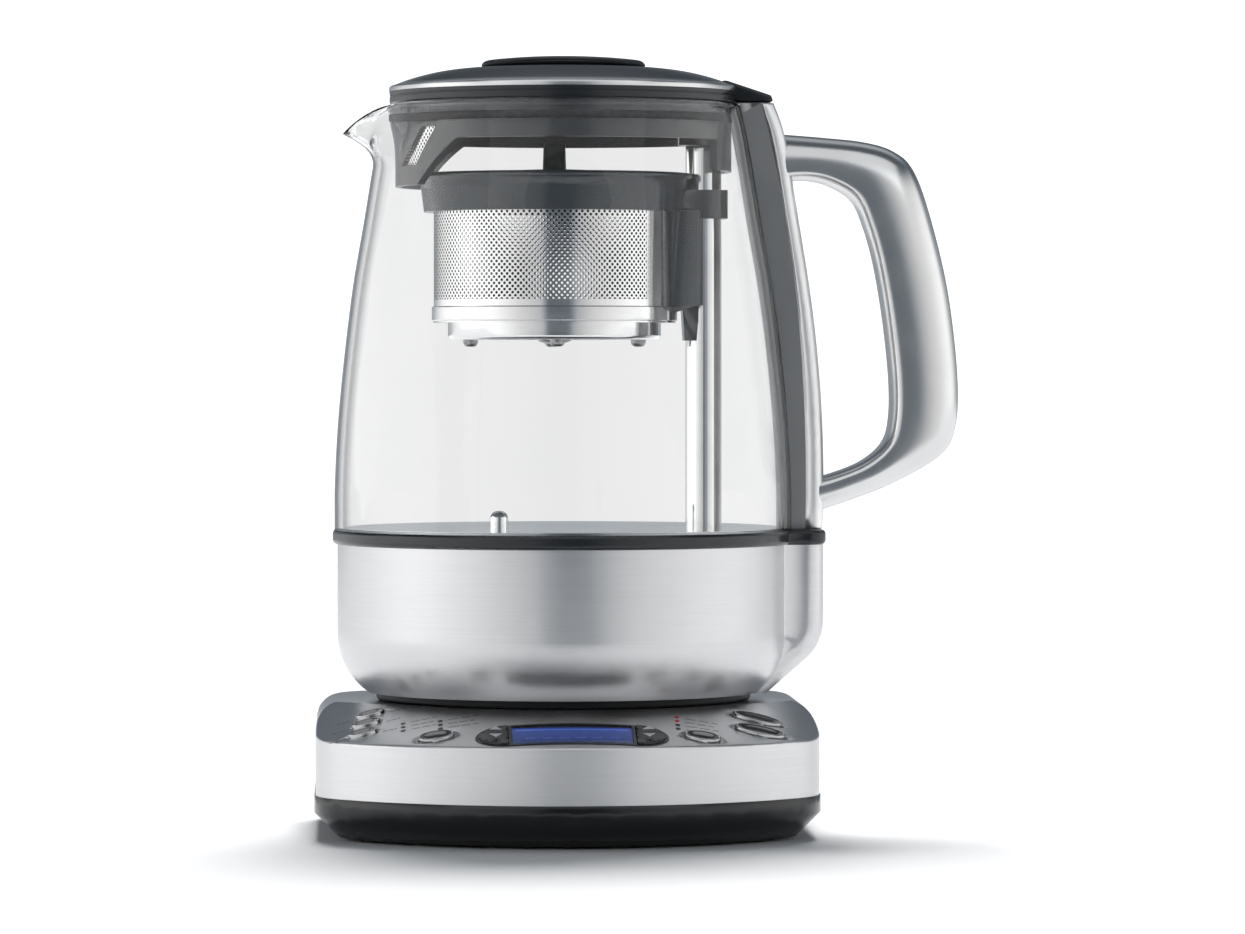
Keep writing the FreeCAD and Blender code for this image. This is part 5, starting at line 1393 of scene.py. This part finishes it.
# ---------------------------------------------------------------- basket
@dataclass
class Basket:
    """Tea basket with its carrier and lid."""

    centre: Point = (-3.0, 0.0)
    wall_radius: float = 40.2
    plain_half_angle: float = math.radians(42.0)
    top_edge: float = 212.6
    low_edge: float = 170.3
    holes_low: float = 175.6
    strip_proud: float = 0.04
    strip_sheet: float = 0.5
    band_overlap: float = 0.9
    cup_radius: float = 35.5
    cup_lip: float = 3.4
    cup_sheet: float = 0.8
    band_bead: float = 0.4
    band_depth: float = 5.4
    band_rise: float = 4.0
    spoke_width: float = 2.4
    stud_radius: float = 2.5
    stud_circle: float = 28.0
    stud_drop: float = 2.4
    boss_radius: float = 6.5
    cover_reach: float = 1.2
    cover_edge: float = 1.4
    cover_flange: float = 6.0
    cover_sheet: float = 1.0
    knob_radius: float = 3.9

    def build(self) -> None:
        """Build and dress every piece of the basket."""
        self.perforated_wall()
        self.base_ring()
        self.studs()
        refined("basket_carrier", CARRIER_GREY, "basket")
        refined("basket_floor", SHEET, "basket")
        self.cover()
        dress(BRIGHT, "basket_magnets")

    def perforated_wall(self) -> None:
        """Steel wall with rows of staggered holes and a plain seam strip towards the post."""
        lattice = Lattice(self.wall_radius)
        form = Form()
        arc = math.tau - 2.0 * self.plain_half_angle
        columns = round(arc * self.wall_radius / lattice.pitch)
        step = arc / columns
        rows = int((self.top_edge - self.holes_low) / lattice.row) - 1
        start = self.plain_half_angle + step / 2.0
        lattice.cell(form.mesh, start, self.holes_low + lattice.row)
        bmesh.ops.spin(form.mesh, geom=form.everything(), axis=UP, cent=(0.0, 0.0, 0.0),
                       angle=arc - step, steps=columns - 1, use_duplicate=True)
        row = form.everything()
        for index in range(1, rows):
            copy = bmesh.ops.duplicate(form.mesh, geom=row)["geom"]
            shift = Matrix.Rotation((index % 2) * step / 2.0, 4, "Z")
            shift = Matrix.Translation((0.0, 0.0, index * lattice.row)) @ shift
            bmesh.ops.transform(form.mesh, matrix=shift, verts=vertices(copy))
        form.merge(CELL_MERGE)
        form.thicken(lattice.sheet)
        bmesh.ops.translate(form.mesh, vec=(*self.centre, 0.0), verts=form.mesh.verts)
        axis = AXIS + Vector((*self.centre, 0.0)) * MM
        pierced = PiercedSheet("pierced_steel_inner_shade", axis.x, axis.y).build()
        form.piece("basket_holes", pierced, "basket", ("basket_wall",), sharp=60.0)
        self.plain_strips(lattice, rows, pierced)

    def plain_strips(self, lattice: Lattice, rows: int, finish: bpy.types.Material) -> None:
        """Unperforated edge bands and seam strip of the wall.

        Args:
            lattice: Sheet that the bands frame.
            rows: Number of rows of holes.
            finish: Material of the wall.
        """
        radius = self.wall_radius + self.strip_proud
        inside = radius - self.strip_sheet
        overlap = self.band_overlap * lattice.row
        holes_top = self.holes_low + (rows + 1) * lattice.row
        bands = Form()
        for low, high in ((self.low_edge, self.holes_low + overlap),
                          (holes_top - overlap, self.top_edge)):
            bands.spin([(radius, low), (radius, high), (inside, high), (inside, low)], 144,
                       self.centre)
        seam = Form()
        x, y = self.centre
        outline = [(x + radius, self.low_edge), (x + radius, self.top_edge),
                   (x + inside, self.top_edge), (x + inside, self.low_edge)]
        geometry = seam.line(outline, closed=True)
        sweep = self.plain_half_angle + self.band_overlap / 2.0 * lattice.pitch / self.wall_radius
        bmesh.ops.rotate(seam.mesh, cent=(x, y, 0.0), matrix=Matrix.Rotation(-sweep, 3, "Z"),
                         verts=seam.mesh.verts)
        bmesh.ops.spin(seam.mesh, geom=geometry, cent=(x, y, 0.0), axis=UP, angle=2.0 * sweep,
                       steps=36)
        border = [edge for edge in seam.mesh.edges if edge.is_boundary]
        bmesh.ops.holes_fill(seam.mesh, edges=border, sides=4)
        bands.piece("basket_edge_bands", finish, "basket")
        seam.piece("basket_seam_strip", finish, "basket")

    def base_ring(self) -> None:
        """Rolled band and stepped cup under the wall, with a cross in the cup."""
        bottom = height_of("basket_base")[0] + self.stud_drop
        top = self.low_edge + self.band_rise
        low = top - self.band_depth
        band = self.wall_radius + 0.3 + self.band_bead
        bore = self.wall_radius + 0.05
        cup, sheet = self.cup_radius, self.cup_sheet
        form = Form()
        form.spin(rounded([
            (cup - self.cup_lip, bottom, 0.0), (cup, bottom, 1.5), (cup, low + 0.9, 0.0),
            (cup - 0.35, low + 0.9, 0.0), (cup - 0.35, low, 0.0), (band - 0.5, low, 0.0),
            (band - 0.5, low + 0.5, 0.0), (band, low + 0.7, 0.3), (band, top, 0.4),
            (bore, top, 0.0), (bore, self.low_edge, 0.0), (cup - sheet, self.low_edge, 0.0),
            (cup - sheet, bottom + sheet, 0.8), (cup - self.cup_lip, bottom + sheet, 0.0)]), 192,
            self.centre)
        middle = Matrix.Translation((*self.centre, bottom + sheet / 2.0))
        for turn in (0.0, QUARTER):
            form.bar((2.0 * cup - 3.0, self.spoke_width, sheet),
                     middle @ Matrix.Rotation(turn, 4, "Z"))
        form.piece("basket_cup", SHEET, "basket", ("basket_base",))

    def studs(self) -> None:
        """Four studs that the basket stands on, and the shallow boss between them."""
        low = height_of("basket_base")[0]
        bottom = low + self.stud_drop
        x, y = self.centre
        form = Form()
        stud = rounded([(0.0, low, 0.0), (self.stud_radius, low, 1.6),
                        (self.stud_radius, bottom + 0.4, 0.0), (0.0, bottom + 0.4, 0.0)])
        for across, back in ((1.0, 0.0), (-1.0, 0.0), (0.0, 1.0), (0.0, -1.0)):
            place = (x + across * self.stud_circle, y + back * self.stud_circle)
            form.spin(stud, 32, place)
        boss = bow((0.0, bottom - 1.4), (self.boss_radius * 0.66, bottom - 0.9),
                   (self.boss_radius, bottom + 0.3), 8)
        form.spin([*boss, (0.0, bottom + 0.3)], 48, self.centre)
        form.piece("basket_studs", DARK_CHROME, "basket")

    def cover(self) -> None:
        """Domed lid of the basket and its pin knob."""
        low, high = height_of("basket_lid")
        radius = self.wall_radius + self.cover_reach
        flange = radius - self.cover_flange
        edge = low + self.cover_edge
        shoulder = (radius * 0.52, edge + (high - edge) * 0.74)
        over = bow((radius - 0.5, edge), shoulder, (self.knob_radius + 0.6, high), 16)
        under = [(r, z - self.cover_sheet) for r, z in over[::-1] if r < flange]
        shell = Form()
        shell.spin([(flange, low), (radius, low), (radius, edge - 0.4), *over, (0.0, high),
                    (0.0, high - self.cover_sheet), *under], 160, self.centre)
        shell.piece("basket_lid_shell", CARRIER_GREY, "basket_cover",
                    ("basket_lid",))
        low, high = height_of("basket_lid_knob")
        knob = self.knob_radius
        pin = Form()
        pin.spin(rounded([(0.0, low, 0.0), (knob, low, 0.4), (knob * 0.93, high, 0.8),
                          (0.0, high, 0.0)]), 64, self.centre)
        pin.piece("basket_lid_pin", KNOB_BLACK, "basket_cover",
                  ("basket_lid_knob",))


# ---------------------------------------------------------------- lid
@dataclass
class Lid:
    """Lift-off lid with its steel plate, knob, smoke-coloured skirt and filters."""

    rim_radius: float = 57.9
    bore: float = 53.0
    seam: float = 244.2
    seam_half: float = 0.2
    groove: float = 0.6
    plate_edge: float = 2.0
    plate_proud: float = 0.2
    crown: float = 27.3
    neck: float = 12.0
    neck_gap: float = 0.2
    sheet: float = 1.0
    tab_half: float = 12.0
    tab_bevel: float = 0.7
    notch_x: float = 50.0
    notch_gap: float = 0.15
    knob_inset: float = 0.05
    skirt_radius: float = 56.0
    window_inset: float = 13.5
    window_width: float = 4.5
    window_slant: float = 6.5

    def build(self) -> None:
        """Build and dress every piece of the lid."""
        self.body()
        self.plate()
        self.knob()
        refined("lid_skirt", SMOKE, "lid")
        self.windows()
        dress(SILICONE, "lid_seal")

    def body(self) -> None:
        """Black flange with its seam line, and the tab over the head of the spine."""
        low = height_of("lid_skirt")[1]
        top = height_of("lid_plate")[0]
        radius, bore, deep = self.rim_radius, self.bore, self.rim_radius - self.groove
        seam_low, seam_high = self.seam - self.seam_half, self.seam + self.seam_half
        form = Form()
        form.spin(rounded([
            (0.0, low - 0.4, 0.0), (bore, low - 0.4, 0.0), (bore, low, 0.0), (radius, low, 0.35),
            (radius, seam_low, 0.15), (deep, seam_low, 0.0), (deep, seam_high, 0.0),
            (radius, seam_high, 0.15), (radius, top, 0.0), (0.0, top, 0.0)]), 240)
        profile = ((radius - 7.9, top + 2.9), (radius - 4.4, top + 3.7), (radius + 10.7, top - 1.3),
                   (radius + 11.4, low + 0.5), (radius - 0.9, low + 0.5))
        outline = form.line(profile, -self.tab_half, closed=True)
        face = bmesh.ops.contextual_create(form.mesh, geom=outline)["faces"]
        wedge = vertices(bmesh.ops.extrude_face_region(form.mesh, geom=face)["geom"])
        bmesh.ops.translate(form.mesh, vec=(0.0, 2.0 * self.tab_half, 0.0), verts=wedge)
        edges = edges_at(wedge + vertices(outline))
        bmesh.ops.bevel(form.mesh, geom=edges, offset=self.tab_bevel, offset_type="OFFSET",
                        segments=3, profile=0.5, affect="EDGES", material=-1)
        form.piece("lid_flange", BLACK, "lid", ("lid_body",))

    def plate(self) -> None:
        """Domed steel plate, notched for the tab and open for the neck of the knob."""
        low, high = height_of("lid_plate")
        radius = self.rim_radius + self.plate_proud
        rim = low + self.plate_edge
        middle = ((radius + self.crown) / 2.0, high - (high - rim) * 0.25)
        edge = bow((radius, rim - 0.9), (radius - 0.3, rim - 0.25), (radius - 1.0, rim), 4)
        dome = bow((radius - 1.0, rim), middle, (self.crown, high), 20)
        form = Form()
        form.spin([(radius, low), *edge, *dome[1:], (self.neck + self.neck_gap, high)], 240,
                  closed=False)
        form.merge()
        self.cut_notch(form.mesh)
        form.thicken(self.sheet)
        # The plate's dome is painted dark as shade, its upright edge keeps the bright steel.
        steel = LidSteel("turned_lid_steel_shaded_dome", (rim + 0.3) * MM).build()
        form.piece("lid_cover_plate", steel, "lid", ("lid_plate",), sharp=40.0)

    def cut_notch(self, mesh: bmesh.types.BMesh) -> None:
        """Cut the place of the tab out of the plate.

        Args:
            mesh: Mesh of the plate.
        """
        half = self.tab_half + self.notch_gap
        side, front = (0.0, 1.0, 0.0), (1.0, 0.0, 0.0)
        for point, normal in (((0.0, half, 0.0), side), ((0.0, -half, 0.0), side),
                              ((self.notch_x, 0.0, 0.0), front)):
            near = [face for face in mesh.faces if face.calc_center_median().x > self.notch_x - 4.0]
            near += list({item for face in near for item in (*face.edges, *face.verts)})
            bmesh.ops.bisect_plane(mesh, geom=near, dist=0.0001, plane_co=point, plane_no=normal)
        gone = []
        for face in mesh.faces:
            place = face.calc_center_median()
            if place.x > self.notch_x and abs(place.y) < half:
                gone.append(face)
        bmesh.ops.delete(mesh, geom=gone, context="FACES")

    def knob(self) -> None:
        """Low black knob with a softly domed top."""
        low, high = height_of("lid_knob")
        high -= self.knob_inset
        radius = self.crown
        under = height_of("lid_plate")[1] + 0.3
        edge = bow((radius - 1.0, under), (radius - 0.3, under + 0.3), (radius, under + 1.0), 4)
        shoulder = bow((radius, under + 1.0), (radius - 0.6, under + 1.8),
                       (radius - 2.2, under + 2.4), 5)
        dome = bow((radius - 2.2, under + 2.4), (radius * 0.55, high - 0.35), (2.0, high), 12)
        form = Form()
        form.spin([(0.0, low), (self.neck, low), (self.neck, under), *edge, *shoulder[1:],
                   *dome[1:], (0.0, high)], 200)
        form.piece("lid_grip", KNOB_BLACK, "lid", ("lid_knob",))

    def windows(self) -> None:
        """Pierced sheets in the two slanted windows of the spout apron."""
        low, high = height_of("spout_filter")
        radius = self.skirt_radius - 1.0
        lattice = Lattice(radius)
        form = Form()
        half = lattice.pitch / radius / 2.0
        for row in range(int((high - low) / lattice.row)):
            drop = (row + 0.5) * lattice.row
            near = self.skirt_radius - self.window_inset + self.window_slant * drop / (high - low)
            first = math.acos(min(1.0, (near + self.window_width) / radius))
            last = math.acos(near / radius)
            for index in range(int(first / half), int(last / half) + 1):
                if index % 2 == row % 2 and first < index * half < last:
                    for side in (-1.0, 1.0):
                        lattice.cell(form.mesh, math.pi - side * index * half, high - drop)
        form.merge(CELL_MERGE)
        form.thicken(lattice.sheet)
        form.piece("spout_sieve", SHEET, "lid", ("spout_filter",), sharp=60.0)


# ---------------------------------------------------------------- studio
@dataclass(frozen=True)
class Sky:
    """Soft light all round: bands on the horizon under a dim front and a paler back."""

    bands: tuple[Point, ...] = (
        (-180.0, 0.50), (-165.0, 0.35), (-152.0, 0.55), (-135.0, 1.10), (-112.0, 1.50),
        (-85.0, 1.85), (-60.0, 1.30), (-36.0, 0.85), (-14.0, 0.60), (-8.0, 0.15), (13.0, 0.15),
        (19.0, 0.50), (34.0, 0.78), (50.0, 0.95), (74.0, 1.25), (95.0, 1.40), (112.0, 1.10),
        (128.0, 0.60), (150.0, 0.34), (165.0, 0.32), (180.0, 0.50))
    band_top: Point = (0.26, 0.58)
    front_upper: float = 0.10
    back_from: Point = (0.2, 0.55)
    back_band_top: Point = (0.05, 0.34)
    back_dim: float = 0.13
    back_high: Point = (0.48, 0.74)
    back_upper: float = 0.55
    cool: Triple = (0.82, 0.97, 1.12)
    cool_until: Point = (0.1, 0.75)
    behind_glass: float = 0.84
    background: float = 1.25

    def build(self) -> None:
        """Make the world and its shader."""
        world = bpy.data.worlds.new("soft_studio")
        world.use_nodes = True
        bpy.context.scene.world = world
        sky = Wiring(world.node_tree)
        across, back, up = sky.split(sky.add("ShaderNodeTexCoord").outputs["Generated"])
        bearing = sky.sum("ARCTAN2", across, sky.sum("MULTIPLY", back, -1.0))
        ramp = sky.add("ShaderNodeValToRGB")
        sky.feed(ramp.inputs, sky.share(bearing, -math.pi, math.pi))
        brightest = self.fill_ramp(ramp.color_ramp)
        horizon = sky.sum("MULTIPLY", ramp.outputs["Color"], brightest)
        front = sky.number(sky.share(up, *self.band_top, True), horizon, self.front_upper)
        behind = sky.number(sky.share(up, *self.back_band_top, True), horizon, self.back_dim)
        behind = sky.number(sky.share(up, *self.back_high, True), behind, self.back_upper)
        light = sky.number(sky.share(back, *self.back_from, True), front, behind)
        rays = sky.add("ShaderNodeLightPath").outputs
        single = sky.sum("LESS_THAN", rays["Glossy Depth"], 0.5)
        few = sky.sum("LESS_THAN", rays["Transmission Depth"], 2.5)
        through = sky.sum("MULTIPLY", rays["Is Transmission Ray"], sky.sum("MAXIMUM", single, few))
        light = sky.number(through, light, self.behind_glass)
        light = sky.number(rays["Is Camera Ray"], light, self.background)
        tint = sky.colour(sky.share(light, *self.cool_until, True), self.cool, 1.0)
        background = sky.tree.nodes["Background"].inputs
        sky.feed((background["Color"], background["Strength"]), tint, light)

    def fill_ramp(self, ramp: bpy.types.ColorRamp) -> float:
        """Write the bands round the horizon into a ramp.

        Args:
            ramp: Ramp to fill, with its two stops.

        Returns:
            Level of the brightest band, which the ramp holds as one.
        """
        brightest = max(level for bearing, level in self.bands)
        ramp.elements.remove(ramp.elements[-1])
        for index, (bearing, level) in enumerate(self.bands):
            position = (bearing + 180.0) / 360.0
            stop = ramp.elements[0] if index == 0 else ramp.elements.new(position)
            stop.position = position
            stop.color = opaque(level / brightest)
        return brightest


@dataclass(frozen=True)
class Studio:
    """Pale floor, soft light all round and the camera."""

    distance: float = 2.0
    eye_height: float = 0.1565
    heading: float = math.radians(2.0)
    yaw: float = math.radians(0.564)
    pitch: float = math.radians(-1.020)
    lens: float = 173.4
    sensor: float = 36.0
    clip: Point = (0.1, 200.0)
    floor_size: float = 2.6
    floor_front: float = 0.42
    floor_tones: Point = (0.88, 0.89)
    box_width: float = math.radians(26.0)
    box_height: float = math.radians(60.0)
    box_power: float = 3.6
    box_turn: float = math.radians(-9.0)
    card_distance: float = 2.2
    card_height: float = math.radians(50.0)
    card_size: Point = (4.4, 2.0)
    card_power: float = 22.0

    def build(self) -> None:
        """Make floor, light and camera."""
        self.floor()
        Sky().build()
        self.soft_box()
        self.front_card()
        self.camera()

    def floor(self) -> None:
        """Plain pale floor."""
        mesh = bmesh.new()
        half = (self.floor_size + self.floor_front) / 2.0
        place = Matrix.Translation((0.0, half - self.floor_front, 0.0))
        place = place @ Matrix.Diagonal((self.floor_size, half, 1.0, 1.0))
        bmesh.ops.create_grid(mesh, x_segments=1, y_segments=1, size=1.0, matrix=place)
        data = bpy.data.meshes.new("studio_floor")
        mesh.to_mesh(data)
        mesh.free()
        surface = Surface("floor_white")
        uneven = surface.effect(Effect.MOULDING, Scale=1.0)
        surface.set(Base_Color=surface.colour(uneven, *self.floor_tones), Roughness=0.9,
                    Specular_IOR_Level=0.0)
        data.materials.append(surface.material)
        put("studio_floor", data)

    def soft_box(self) -> None:
        """Wide soft light high behind, which steel doesn't mirror."""
        light = bpy.data.lights.new("soft_box", "SUN")
        light.angle = self.box_width
        light.energy = self.box_power
        thing = put("soft_box", light)
        thing.rotation_euler = (self.box_height - QUARTER, 0.0, self.box_turn)
        thing.visible_glossy = thing.visible_transmission = thing.visible_camera = False

    def front_card(self) -> None:
        """Pale card high in front, which only polished faces show."""
        light = bpy.data.lights.new("front_card", "AREA")
        light.shape = "RECTANGLE"
        light.size, light.size_y = self.card_size
        light.energy = self.card_power
        thing = put("front_card", light)
        thing.location = (0.0, -self.card_distance * math.cos(self.card_height),
                          self.card_distance * math.sin(self.card_height))
        thing.rotation_euler = (QUARTER - self.card_height, 0.0, 0.0)
        thing.visible_diffuse = thing.visible_transmission = thing.visible_camera = False

    def camera(self) -> None:
        """Camera a little above the table, at the jug's middle height."""
        data = bpy.data.cameras.new("camera")
        data.lens = self.lens
        data.sensor_width = self.sensor
        data.clip_start, data.clip_end = self.clip
        thing = put("camera", data)
        away = Vector((math.sin(self.heading), math.cos(self.heading), 0.0))
        thing.location = AXIS - away * self.distance + Vector(UP) * self.eye_height
        thing.rotation_euler = (QUARTER + self.pitch, 0.0, -(self.heading + self.yaw))
        bpy.context.scene.camera = thing


def main() -> None:
    """Build the tea maker's pieces, then the studio round it."""
    logging.basicConfig(level=logging.INFO, format="%(message)s")
    for part in (Base(), Jug(), Basket(), Lid()):
        LOG.info("building the %s", type(part).__name__.lower())
        part.build()
    Studio().build()
    bpy.context.scene.view_settings.view_transform = "Standard"


if __name__ == "__main__":
    main()
